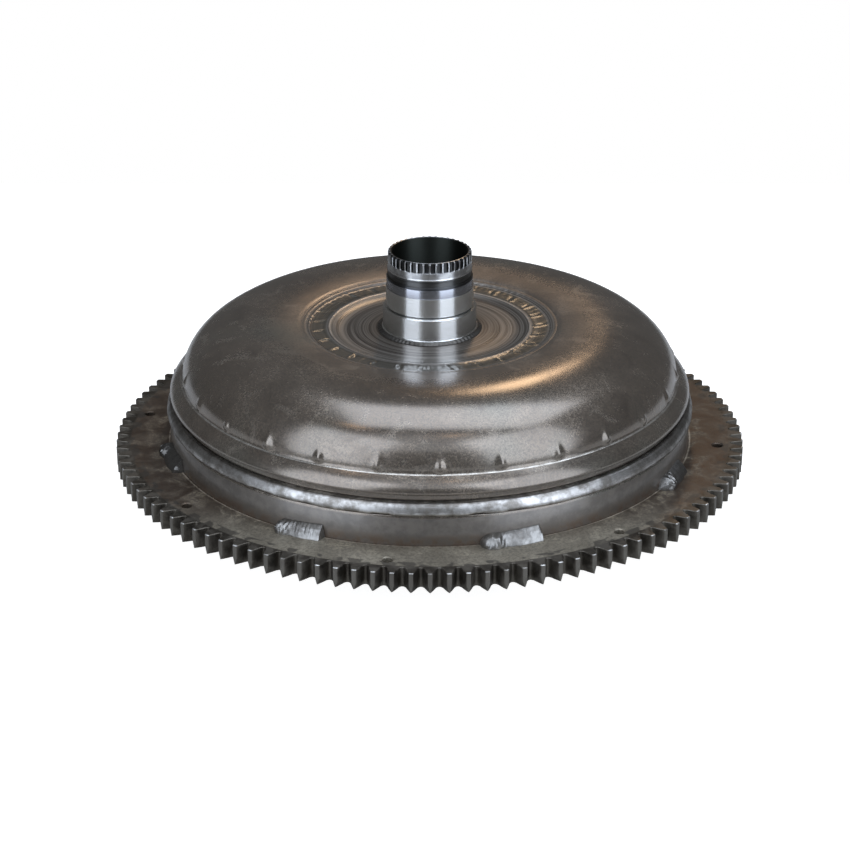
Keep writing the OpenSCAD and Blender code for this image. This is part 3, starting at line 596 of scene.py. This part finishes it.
PAINTS = {
    "housing_steel": housing_steel(),
    "gear_steel": gear_steel(),
    "machined_steel": machined_steel(),
    "weld_metal": weld_metal("weld_metal", (0.25, 0.232, 0.208), (0.60, 0.585, 0.56)),
    "tack_metal": weld_metal("tack_metal", (0.20, 0.19, 0.175), (0.36, 0.35, 0.33), 0.34, 0.48, 0.1),
    "foot_metal": weld_metal("foot_metal", (0.13, 0.12, 0.108), (0.23, 0.22, 0.20), 0.35, 0.5),
    "stamped_steel": metal("stamped_steel", (0.33, 0.31, 0.28), (0.46, 0.44, 0.40), 0.34, 2.0, 0.02),
    "turned_steel": metal("turned_steel", (0.50, 0.49, 0.47), (0.66, 0.65, 0.63), 0.3, depth=0.004,
                          rings=0.35, anisotropic=0.6),
    "bearing_steel": metal("bearing_steel", (0.60, 0.60, 0.61), (0.74, 0.74, 0.75), 0.16, 3.0, 0.002),
    "spring_steel": metal("spring_steel", (0.22, 0.23, 0.26), (0.36, 0.37, 0.40), 0.3, 1.2, 0.008),
    "bronze": metal("bronze", (0.42, 0.29, 0.14), (0.56, 0.40, 0.21), 0.32, 1.6, 0.01),
    "cage_brass": metal("cage_brass", (0.52, 0.41, 0.2), (0.68, 0.56, 0.31), 0.28, 1.8, 0.008),
    "cast_aluminium": metal("cast_aluminium", (0.50, 0.50, 0.49), (0.62, 0.62, 0.61), 0.42, 0.9, 0.03),
    "seal_rubber": plain_solid("seal_rubber", (0.02, 0.02, 0.02), (0.035, 0.034, 0.032), 0.5, 0.8, 0.01),
    "friction_paper": plain_solid("friction_paper", (0.16, 0.10, 0.05), (0.27, 0.18, 0.10), 0.8, 0.5, 0.05),
}


# ---------------------------- impeller shell

def blade_columns():
    """Column angles with half of them gathered at the bumps over the blades' ends."""
    pitch, half = 360 / BLADES, 1.9
    inside = np.linspace(-half, half, 17, endpoint=False)
    outside = np.linspace(half, pitch - half, 18, endpoint=False)
    one = np.concatenate([inside, outside])
    return np.concatenate([BUMP_START + k * pitch + one for k in range(BLADES)])


def shell_profile():
    """From the hub's foot outwards over the dome, under the lip and down the neck, then back inside."""
    root_r = 22.3
    hollow = [(root_r, 0), (27, -0.25), (33, -0.55), (38.5, -0.8), (42, -0.55)]
    inner_ridge = [(44.6, 0.15), (46.3, 0.75), (47.4, 0.75)]
    track = [(48.7, 0.5), (51.2, 0.55), (53.8, 0.7)]
    outer_ridge = [(55.5, 0.85), (56.6, 1.25), (57.6, 1.7), (58.6, 1.88), (59.2, 1.86), (59.8, 2.13)]
    dish = smooth_curve(hollow + inner_ridge + track + outer_ridge, 2) + [0, DISH_Z]
    crown = np.array([(r, CROWN_Z - 0.005 * (CROWN_R - r) ** 2) for r in (62, 65, 68, 71.5, 75)])
    dome_a, dome_b = CREASE_R - CROWN_R, CROWN_Z - CREASE_Z
    dome = np.vstack([arc(CROWN_R, CREASE_Z, dome_a, dome_b, 90, 16, 16),
                      arc(CROWN_R, CREASE_Z, dome_a, dome_b, 13.5, 1.6, 7)])
    crease = arc(CREASE_R - 0.25, CREASE_Z - 2.35, 2.4, 2.4, 78, 46, 4)
    share = np.linspace(0, 1, 10)[1:, None]
    start, corner, end = crease[-1], np.array([BAND_R, CREASE_Z - 4.2]), np.array([BAND_R, BAND_Z])
    band = (1 - share) ** 2 * start + 2 * share * (1 - share) * corner + share**2 * end
    lip = [(BAND_R - 0.15, BAND_Z - 0.5), (BAND_R - 0.7, BAND_Z - 0.95), (119.1, BAND_Z - 1.15),
           (119, BEAD_TOP + 0.6), (NECK_R, BEAD_TOP + 0.3), (NECK_R, NECK_Z)]
    outer = np.vstack([dish, crown, dome, crease, band, lip])
    inner = np.vstack([[(NECK_R - SHELL_T, NECK_Z), (NECK_R - SHELL_T, BAND_Z)],
                       arc(CROWN_R, CREASE_Z, dome_a - SHELL_T, dome_b - SHELL_T, 0, 90, 8),
                       [(66, CROWN_Z - 4), (58, CROWN_Z - 5.2), (50, DISH_Z - 2.2), (44, DISH_Z - 3.5),
                        (root_r, DISH_Z - 3.8)]])
    return np.vstack([outer, inner])[::-1]


def shell_relief(r, z, angles):
    """Bumps over the blade ends, rolled tabs in the dish, and slow waviness of the pressed sheet."""
    outside = (z > CREASE_Z - 1) & (r > 60)
    rise = z - CREASE_Z
    side = np.radians(apart(angles, BUMP_START, BLADES)) * CREASE_R
    width = 1.8 - 0.1 * (rise - BUMP_RISE)
    bump = BUMP_HEIGHT * near(side, 0, width) * near(rise, BUMP_RISE, 2.6) * step(rise, 0.2, 1.2)
    tab_side = np.radians(apart(angles, TAB_START, BLADES)) * 51 - 0.35 * (r - 51)
    dish_top = z > DISH_Z - 0.5
    track = step(r, 47.8, 49.4) * step(r, 55, 53) * dish_top
    tab = TAB_HEIGHT * (near(tab_side, -0.9, 0.8) - near(tab_side, 1.3, 0.9))
    tab = tab * (1 + 0.4 * wander(angles, r, 6, 7, 40, 6))
    upset = 0.03 * wander(angles, r, 5, 30, 110, 3) * step(r, 46, 49) * step(r, 60, 56) * dish_top
    dent = 0.04 * wander(angles, r + z, 3, 1, 7, 30) * outside
    return np.where(z > BEAD_TOP, bump * outside + tab * track + upset + dent, 0.0)


def impeller_shell():
    """The domed shell as one turned sheet with its bumps and tabs."""
    piece = lathe("impeller_shell_skin", shell_profile(), blade_columns(), shell_relief, sharp=50)
    finish_piece(piece, "housing", "housing_steel", PAINTS["housing_steel"], "impeller_shell")


# ---------------------------- front cover and welds

def front_cover():
    """The pressed cover: ribbed floor, bent corner, wall up to the closure weld."""
    t, bend, floor = 3.4, 8, COVER_FLOOR_Z
    ribs = rounded([(0, floor), (31, floor), (34, COVER_LOW), (80, COVER_LOW), (83, floor), (88, floor)], 2.5)
    outline = np.vstack([
        ribs[2:-4],
        arc(COVER_R - bend, floor + bend, bend, bend, -90, 0, 12),
        [(COVER_R, RING_LOW + 1), (COVER_R, RING_TOP)],
        [(COVER_R, COVER_TOP - 0.5), (COVER_R - 0.4, COVER_TOP), (COVER_R - t, COVER_TOP)],
        arc(COVER_R - bend, floor + bend, bend - t, bend - t, 0, -90, 6),
        [(60, floor + t), (0, floor + t)]])
    outline[0] = (0, floor)

    def ripple(r, z, angles):
        return 0.06 * wander(angles, z + r, 11, 2, 9, 40) * (r > 30) * (r < COVER_R + 1) * (z < COVER_TOP - 1)

    piece = lathe("front_cover_pressing", outline, 540, ripple, sharp=40)
    finish_piece(piece, "housing", "housing_steel", PAINTS["housing_steel"], "front_cover")


def closure_weld():
    """The girth weld: a soft bead with crescent ripples, a wandering lower edge and smeared patches."""
    width = BEAD_R - NECK_R
    outline = rounded([(NECK_R + 0.05, BEAD_LOW), (BEAD_R - 1.0, BEAD_LOW), (BEAD_R - 0.15, BEAD_LOW + 0.8),
                       (BEAD_R - 0.1, BEAD_LOW + 2), (BEAD_R - width * 0.12, BEAD_LOW + 3.8),
                       (BEAD_R - width * 0.35, BEAD_TOP - 0.55), (BEAD_R - width * 0.6, BEAD_TOP),
                       (NECK_R + 0.05, BEAD_TOP)], 1.2, 3)

    def ripples(r, z, angles):
        free = step(r, NECK_R + 0.6, NECK_R + 1.6)
        rise = (z - BEAD_LOW) / (BEAD_TOP - BEAD_LOW)
        crescent = np.cos(np.radians(angles) * 190 + 5 * rise**2 + 1.5 * wander(angles, z, 21, 2, 12, 20))
        slow = wander(angles, z, 22, 6, 40, 9)
        edge = -0.5 * step(rise, 0.3, 0.0) * step(wander(angles, 0 * z, 23, 8, 60, 9), 0.1, 1.2)
        return free * (0.012 * crescent + 0.06 * slow + edge - 0.10)

    piece = lathe("closure_weld_bead", outline, 1440, ripples, sharp=60)
    finish_piece(piece, "housing", "weld_metal", PAINTS["weld_metal"], "closure_weld")


def tack_weld(seed):
    """One weld on the ring gear's web: a crinkled nugget, then a broad flat smear with a square end."""
    rows, columns = 17, 48
    run = np.linspace(0, 1, columns)[None, :]
    turn = np.linspace(0, 1, rows)[:, None]
    nugget_half = 0.19
    nugget = np.sqrt(np.clip(1 - ((run - nugget_half) / nugget_half) ** 2, 0, 1))
    smear = step(run, 0.1, 0.38) * step(run, 1.0, 0.955)
    flat = step(run, 0.25, 0.5)
    reach = ((6.4 * nugget) ** 3 + ((5.2 + 0.3 * np.sin(run * 9 + seed)) * smear) ** 3) ** (1 / 3)
    rise = ((4.6 * nugget) ** 3 + ((4.3 + 1.7 * run) * smear) ** 3) ** (1 / 3)
    rng = np.random.default_rng(seed)
    rough = sum(np.cos(run * rng.uniform(15, 120) + turn * rng.uniform(-9, 9) + rng.uniform(0, TURN))
                for _ in range(14)) / 14
    streak = np.cos(turn * 23 + run * 3 + seed) + 0.6 * np.cos(turn * 41 - run * 2 + seed)
    bulge = 1 + ((0.5 - 0.42 * flat) * rough + 0.012 * flat * streak) * np.sin(math.pi * turn)
    a = turn * math.pi / 2
    fullness = 0.85 + 0.65 * flat
    corner_r, corner_z = COVER_R + 0.06, RING_TOP + 0.05
    r = corner_r + reach * bulge * np.cos(a) ** fullness
    z = corner_z + rise * bulge * np.sin(a) ** fullness
    r, z = np.vstack([r, np.full_like(run, corner_r)]), np.vstack([z, np.full_like(run, corner_z)])
    lead = 2.2 if seed % 2 == 0 else 0.0
    angle = np.broadcast_to(TACK_START - lead + (TACK_SWEEP + lead) * run, r.shape)
    points = xyz(r, angle, z).reshape(-1, 3)
    faces = [list(f) for f in grid_faces(rows + 1, columns, wrap_columns=False)]
    first = [k * columns for k in range(rows + 1)]
    last = [k * columns + columns - 1 for k in range(rows, -1, -1)]
    return points, faces + [first, last]


def ring_gear_welds():
    """Eight tack welds between the cover's wall and the web, each crinkled in its own way."""
    points, faces = [], []
    first_seed = 40
    for k in range(WEB_HOLES):
        one, its_faces = tack_weld(first_seed + k)
        turned_points, _ = repeated(one, [], 1, k * 360 / WEB_HOLES)
        faces += [[c + len(one) * k for c in f] for f in its_faces]
        points.append(turned_points)
    piece = build("ring_gear_tack_welds", np.vstack(points), faces, 70)
    finish_piece(piece, "housing", "weld_metal", PAINTS["tack_metal"], "ring_gear_welds")


def hub_weld():
    """The thin fillet weld round the hub's foot."""
    inner, foot = SEAL_R + 0.55, WELD_TOP - 1.25
    outline = rounded([(inner, foot), (inner + 2.2, foot), (inner + 1.2, WELD_TOP - 0.75),
                       (inner + 0.5, WELD_TOP - 0.3), (inner, WELD_TOP - 0.1)], 0.4, 2)

    def ripples(r, z, angles):
        waves = np.cos(np.radians(angles) * 70 + wander(angles, z, 31, 3, 15, 9))
        return 0.06 * step(r, inner + 0.2, inner + 0.8) * waves

    piece = lathe("hub_weld_fillet", outline, 720, ripples, sharp=60)
    finish_piece(piece, "housing", "weld_metal", PAINTS["foot_metal"], "hub_weld")


# ---------------------------- ring gear

def tooth_outline(point_half, tip_cut=0.0):
    """(radius, sideways) points of one tooth with its half gaps: filleted root, curved flank, tip of half
    width point_half. tip_cut moves the outline inwards, for a chamfered edge."""
    root_half = math.pi * ROOT_R / TEETH
    flank_foot = root_half - 1.05
    tip = TIP_R - tip_cut
    foot = [(ROOT_R - tip_cut, root_half), (ROOT_R + 0.08 - tip_cut, flank_foot + 0.55),
            (ROOT_R + 0.35 - tip_cut, flank_foot + 0.2)]
    share = np.linspace(0.18, 0.93, 5)
    flank = [(ROOT_R + s * (tip - ROOT_R),
              flank_foot + (point_half - flank_foot) * s + 0.12 * math.sin(math.pi * s) - tip_cut * 0.7)
             for s in share]
    crown = [(tip - 0.06, max(point_half - 0.12 - tip_cut * 0.7, 0.05)), (tip, point_half * 0.4)]
    half = foot + flank + crown
    return np.array([(r, -s) for r, s in half] + [(r, s) for r, s in half[::-1]][:-1])


def gear_ring(outline, z):
    """The outline's points for every tooth, at a height."""
    angles = np.degrees(np.arcsin(outline[:, 1] / outline[:, 0]))
    every = np.arange(TEETH)[:, None] * 360 / TEETH
    return np.broadcast_to(outline[:, 0], (TEETH, len(outline))).ravel(), (angles + every).ravel(), z


def ring_gear():
    """Teeth that narrow to a point on the engine side, for the starter's lead-in, and web holes."""
    rings = [gear_ring(tooth_outline(0.12), RING_LOW),
             gear_ring(tooth_outline(TOOTH_TOP_HALF), RING_LOW + LEAD_IN),
             gear_ring(tooth_outline(TOOTH_TOP_HALF), RING_TOP - CHAMFER),
             gear_ring(tooth_outline(TOOTH_TOP_HALF, CHAMFER), RING_TOP)]
    angles = rings[-1][1]
    bore, web_edge = COVER_R + 0.05, ROOT_R - 1.2
    inside = [(web_edge, RING_TOP), (131, RING_TOP), (bore + CHAMFER, RING_TOP), (bore, RING_TOP - CHAMFER),
              (bore, RING_LOW + CHAMFER), (bore + CHAMFER, RING_LOW), (web_edge, RING_LOW)]
    rings += [(r, angles, z) for r, z in inside]
    points = np.vstack([xyz(r, angle, z) for r, angle, z in rings])
    piece = build("ring_gear_teeth", points, grid_faces(len(rings), len(angles)), 30)
    drill_web(piece)
    shade(piece.data, 30)
    finish_piece(piece, "housing", "gear_steel", PAINTS["gear_steel"], "ring_gear")


def drill_web(piece):
    """Cuts the countersunk web holes."""
    lip, sides = 0.5, 32
    wide = WEB_HOLE_R + lip
    column = np.array([(wide, RING_TOP + 1), (wide, RING_TOP), (WEB_HOLE_R, RING_TOP - lip),
                       (WEB_HOLE_R, RING_LOW + lip), (wide, RING_LOW), (wide, RING_LOW - 1)])
    angles = np.arange(sides) * 360 / sides
    shape = xyz(column[:, :1], angles[None, :], column[:, 1:]).reshape(-1, 3)
    faces = [list(f)[::-1] for f in grid_faces(len(column), sides, wrap_rows=False)]
    faces += [list(range(sides)), list(range(len(shape) - sides, len(shape)))[::-1]]
    centre = xyz(WEB_HOLE_CIRCLE_R, WEB_HOLE_START, 0)
    cutter = build("drill", *repeated(shape + centre, faces, WEB_HOLES))
    cut = piece.modifiers.new("holes", "BOOLEAN")
    cut.operation, cut.solver, cut.object = "DIFFERENCE", "EXACT", cutter
    made = bpy.data.meshes.new_from_object(piece.evaluated_get(bpy.context.evaluated_depsgraph_get()))
    piece.modifiers.clear()
    piece.data = made
    bpy.data.objects.remove(cutter)


# ---------------------------- hub and engine side

def hub_wall():
    """(radius, height) up the outside of the hub, from its flange to the foot of the spline."""
    relief, edge, neck = 0.5, 0.4, SEAL_R + 0.5
    flange_top = FLANGE_LOW + 3.15
    return [
        (BORE_R + 0.5, FLANGE_LOW), (FLANGE_R - edge, FLANGE_LOW), (FLANGE_R, FLANGE_LOW + edge),
        (FLANGE_R, flange_top - 0.35), (FLANGE_R - edge, flange_top), (neck, flange_top),
        (neck, WELD_TOP - 0.15), (SEAL_R + 0.3, WELD_TOP), (SEAL_R, WELD_TOP + 0.1),
        (SEAL_R, SEAL_STEP_Z - relief - 0.1), (SEAL_R - 0.1, SEAL_STEP_Z - relief),
        (SEAL_R - relief, SEAL_STEP_Z - 0.05),
        (BUSH_R - 0.35, SEAL_STEP_Z), (BUSH_R - 0.35, SEAL_STEP_Z + 0.45), (BUSH_R, SEAL_STEP_Z + 0.5),
        (BUSH_R, DULL_LOW_Z - 0.1), (BUSH_R - 0.28, DULL_LOW_Z),
        (BUSH_R - 0.3, GROOVE_LOW_Z - 0.4), (BUSH_R - 0.45, GROOVE_LOW_Z - 0.1),
        (SPLINE_R - 0.1, GROOVE_LOW_Z), (SPLINE_R - 0.35, GROOVE_LOW_Z + 0.2),
        (SPLINE_R - 0.35, COLLAR_LOW_Z - 0.3), (SPLINE_R + 0.1, COLLAR_LOW_Z),
        (SPLINE_R + 0.3, COLLAR_LOW_Z + 0.2), (SPLINE_R + 0.3, COLLAR_TOP_Z - 0.25),
        (SPLINE_R + 0.1, COLLAR_TOP_Z), (SPLINE_R - 0.02, COLLAR_TOP_Z + 0.15),
        (SPLINE_R, SPLINE_Z - 1.4), (SPLINE_R, SPLINE_Z - 0.1)]


def spline_columns():
    """Column angles round the hub, and how deep each one lies in a slot, in millimetres."""
    pitch = 360 / SPLINES
    shares = np.array([-0.5, -0.42, -0.37, -0.34, -0.31, -0.26, -0.13, 0, 0.13, 0.26, 0.31, 0.34, 0.37, 0.42])
    depth = np.interp(np.abs(shares), [0, 0.13, 0.26, 0.31, 0.37, 0.42, 0.5], [1, 1, 0.95, 0.78, 0.1, 0, 0])
    slots = pitch / 2 + np.arange(SPLINES)[:, None] * pitch
    return (slots + shares * pitch).ravel(), np.tile(depth, SPLINES) * (SPLINE_R - SLOT_FLOOR_R)


def impeller_hub():
    """Flange, two journals, grooved collar, pump spline and counterbore, in one grid of turned columns."""
    columns, cut = spline_columns()
    mouth_low = HUB_TOP - MOUTH_DEPTH
    rings = hub_wall() + [
        (SPLINE_R - cut * 0.25, SPLINE_Z), (SPLINE_R - cut * 0.8, SPLINE_Z + 0.35),
        (SPLINE_R - cut, SPLINE_Z + 0.8), (SPLINE_R - cut, HUB_TOP - 0.5),
        (np.minimum(SPLINE_R - cut, SPLINE_R - 0.45), HUB_TOP),
        (MOUTH_R + 0.35, HUB_TOP), (MOUTH_R, HUB_TOP - 0.4), (MOUTH_R, mouth_low),
        (BORE_R, mouth_low - MOUTH_TAPER), (BORE_R, FLANGE_LOW + 0.5)]
    points = np.vstack([xyz(r, columns, z) for r, z in rings])
    piece = build("pump_drive_hub", points, grid_faces(len(rings), len(columns)), 28)
    finish_piece(piece, "housing", "machined_steel", PAINTS["machined_steel"], "impeller_hub")


def crankshaft_pilot():
    """The pilot boss with a turned face, a chamfer and a lathe centre."""
    r, base, shoulder = PILOT_R, PILOT_BASE_R, 9.2
    lathe_centre = [(0, 4), (2.2, 4), (6, 2.2), (6.4, 0)]
    boss = [(r - 1.5, 0), (r, 1.5), (r, shoulder - 0.6), (r + 0.6, shoulder)]
    foot = [(base - 0.6, shoulder), (base, shoulder + 0.7), (base, PILOT_TOP), (0, PILOT_TOP)]
    outline = rounded(lathe_centre + boss + foot, 0.35, 2)
    outline[:3, 0] = 0
    outline[-3:, 0] = 0
    piece = lathe("crankshaft_pilot_boss", outline, 240, sharp=30)
    finish_piece(piece, "housing", "machined_steel", PAINTS["turned_steel"], "crankshaft_pilot")


def threaded_nut():
    """A round welded nut with a cut M10 thread in its hole."""
    pitch, crest, root, top = 1.5, NUT_BOLTS["hole_r_mm"], 5.0, COVER_FLOOR_Z
    nut_r, columns = 13, 48
    outer = rounded([(8, NUT_LOW), (nut_r - 1, NUT_LOW), (nut_r, NUT_LOW + 1), (nut_r, top)], 0.4, 2)[3:-3]
    angles = np.arange(columns) * 360 / columns
    rows = [tuple(corner) for corner in outer] + [(nut_r, top), (crest, top)]
    for z in np.arange(NUT_LOW + 1.2, top - 0.2, pitch / 4)[::-1]:
        wave = 0.5 + 0.5 * np.cos(np.radians(angles) - TURN * z / pitch)
        rows.append((crest + (root - crest) * wave, z))
    rows.append((root + 0.5, NUT_LOW))
    points = np.vstack([xyz(r, angles, z) for r, z in rows])
    return points, [list(f) for f in grid_faces(len(rows), columns)]


def flexplate_nuts():
    """The nuts spaced round the flexplate's bolt circle."""
    points, faces = threaded_nut()
    first = points + xyz(NUT_BOLTS["pcd_mm"] / 2, 90, 0)
    piece = build("flexplate_weld_nuts", *repeated(first, faces, NUT_BOLTS["count"]), 40)
    finish_piece(piece, "housing", "machined_steel", PAINTS["turned_steel"], "flexplate_nuts")


def pilot_weld():
    """The fillet weld round the pilot's base."""
    inner, leg, floor = PILOT_BASE_R + 0.05, 2.4, COVER_FLOOR_Z
    outline = rounded([(inner, floor), (inner, floor - leg), (inner + leg * 0.6, floor - leg * 0.7),
                       (inner + leg, floor)], 0.6, 2)

    def ripples(r, z, angles):
        waves = np.cos(np.radians(angles) * 55 + wander(angles, z, 51, 2, 9, 9))
        return 0.12 * step(r, inner + 0.3, inner + 1) * waves

    piece = lathe("pilot_weld_fillet", outline, 480, ripples, sharp=60)
    finish_piece(piece, "housing", "weld_metal", PAINTS["weld_metal"], "pilot_weld")


# ---------------------------- springs

def coil(radius, wire, length, turns):
    """A compression spring along X about the origin, with its end turns closed up."""
    t = np.linspace(0, turns, int(turns * 22) + 1)
    lead = np.interp(t, [0, 1, turns - 1, turns], [wire, 3 * wire, length - 3 * wire, length - wire])
    a = t * TURN
    r = radius - wire
    path = np.stack([lead - length / 2, r * np.cos(a), r * np.sin(a)], -1)
    return swept(path, circle(wire, 10))


def springs(name, node, body, count, circle_r, z, radius, wire, length, turns, along=0.0):
    """Coil springs spaced round a circle, each lying along its tangent and centred at along."""
    points, faces = coil(radius, wire, length, turns)
    tangent = points[:, [1, 0, 2]] + [circle_r, along, z]
    piece = build(name, *repeated(tangent, faces, count), 80)
    finish_piece(piece, body, "spring_steel", PAINTS["spring_steel"], node)


# ---------------------------- CAD nodes that keep their shape

def paint_cad_nodes():
    """Each CAD node still shown takes the material of its record slot."""
    slots = {s["node"]: s["material_slot"] for s in frame["record"]["subparts"]}
    for name, node in frame["nodes"].items():
        if node.hide_render:
            continue
        node.data.materials.clear()
        node.data.materials.append(PAINTS[slots[name]])


# ---------------------------- stage, lights and camera

COOL = (0.86, 0.96, 1.13)
WARM = (1.0, 0.71, 0.46)


def direction(azimuth, elevation):
    """A unit vector; azimuth 0 is towards the camera, and 90 towards +X."""
    a, e = math.radians(azimuth), math.radians(elevation)
    return Vector((math.sin(a) * math.cos(e), -math.cos(a) * math.cos(e), math.sin(e)))


def softbox(name, azimuth, elevation, distance, width, height, power, colour=COOL):
    """A rectangular lamp of so many watts that faces the middle of the part."""
    out, middle = direction(azimuth, elevation), Vector((0, 0, 0.06))
    lamp = panel(name, middle + out * distance, width, height, power, colour)
    lamp.rotation_euler = out.to_track_quat("Z", "Y").to_euler()


def panel(name, place, width, height, power, colour=COOL):
    """A rectangular lamp that faces straight down."""
    light = bpy.data.lights.new(name, "AREA")
    light.shape, light.size, light.size_y = "RECTANGLE", width, height
    light.energy, light.color = power, colour
    lamp = bpy.data.objects.new(name, light)
    lamp.location = place
    lamp.visible_camera = False
    bpy.context.scene.collection.objects.link(lamp)
    return lamp


def seen_or_lit(tree, seen, lit):
    """A shader that is one thing to the camera and another to the light that reaches the object."""
    path = tree.nodes.new("ShaderNodeLightPath")
    mixer = tree.nodes.new("ShaderNodeMixShader")
    tree.links.new(path.outputs["Is Camera Ray"], mixer.inputs[0])
    tree.links.new(lit, mixer.inputs[1])
    tree.links.new(seen, mixer.inputs[2])
    return mixer.outputs[0]


def surroundings():
    """White to the camera, over a dim grey room that the steel reflects."""
    world = bpy.data.worlds.new("studio")
    bpy.context.scene.world = world
    world.use_nodes = True
    tree = world.node_tree
    white, room = tree.nodes["Background"], tree.nodes.new("ShaderNodeBackground")
    white.inputs["Color"].default_value = (1, 1, 1, 1)
    room.inputs["Color"].default_value = (0.085, 0.085, 0.085, 1)
    shown = seen_or_lit(tree, white.outputs[0], room.outputs[0])
    tree.links.new(shown, tree.nodes["World Output"].inputs[0])


def floor_material():
    """Pale and matt. To the camera it also glows, so it meets the white background with a soft shadow."""
    material = bpy.data.materials.new("floor")
    material.use_nodes = True
    tree = material.node_tree
    matt = tree.nodes["Principled BSDF"]
    matt.inputs["Base Color"].default_value = (0.48, 0.47, 0.45, 1)
    matt.inputs["Roughness"].default_value = 0.9
    glow, both = tree.nodes.new("ShaderNodeEmission"), tree.nodes.new("ShaderNodeAddShader")
    glow.inputs["Strength"].default_value = 0.93
    tree.links.new(glow.outputs[0], both.inputs[0])
    tree.links.new(matt.outputs[0], both.inputs[1])
    shown = seen_or_lit(tree, both.outputs[0], matt.outputs[0])
    tree.links.new(shown, tree.nodes["Material Output"].inputs[0])
    return material


def stage_floor():
    """A square of floor, half a millimetre under the part."""
    half, z = 0.45, -0.0005
    corners = [(-half, -half, z), (half, -half, z), (half, half, z), (-half, half, z)]
    mesh = bpy.data.meshes.new("floor")
    mesh.from_pydata(corners, [], [(0, 1, 2, 3)])
    piece = bpy.data.objects.new("floor", mesh)
    bpy.context.scene.collection.objects.link(piece)
    piece.data.materials.append(floor_material())


def lamps():
    """Two tall keys, a fill, an overhead panel and three small warm lamps. Distances are metres."""
    softbox("key_right", 45, 22, 1.7, 1.25, 2.3, 22)
    softbox("key_left", -44, 22, 1.7, 1.2, 2.3, 20)
    softbox("fill_front", 0, 52, 1.9, 1.7, 1.2, 4)
    overhead = panel("overhead", (0.24, 0.14, 1.46), 1.47, 0.92, 12)
    overhead.rotation_euler.z = math.radians(-6)
    softbox("warm_lamp_back", 171, 38, 1.4, 0.15, 0.34, 1.0, WARM)
    softbox("warm_lamp_left", -64, 66, 1.4, 0.16, 0.06, 0.14, WARM)
    softbox("warm_lamp_front", 17, 64, 1.4, 0.14, 0.06, 0.10, WARM)


def camera():
    """A long lens just over a metre away, looking down at the front by 24 degrees."""
    lens = bpy.data.cameras.new("camera")
    lens.sensor_width, lens.lens = 36, 103.4
    lens.clip_start, lens.clip_end = 0.01, 50
    eye = bpy.data.objects.new("camera", lens)
    eye.location = (-0.00218, -1.0533, 0.5051)
    eye.rotation_euler = (math.radians(65.78), 0, 0)
    bpy.context.scene.collection.objects.link(eye)
    bpy.context.scene.camera = eye


camera()
surroundings()
stage_floor()
lamps()
bpy.context.scene.view_settings.view_transform = "Standard"

impeller_shell()
front_cover()
closure_weld()
ring_gear()
ring_gear_welds()
hub_weld()
impeller_hub()
crankshaft_pilot()
pilot_weld()
flexplate_nuts()
springs("damper_coil_springs", "damper_springs", "damper_drive", count=8, circle_r=99, z=30,
        radius=6.5, wire=1.2, length=40, turns=9)
springs("clutch_coil_springs", "clutch_springs", "stator", count=8, circle_r=27.8, z=60,
        radius=2, wire=0.25, length=6, turns=6, along=6.8)
paint_cad_nodes()
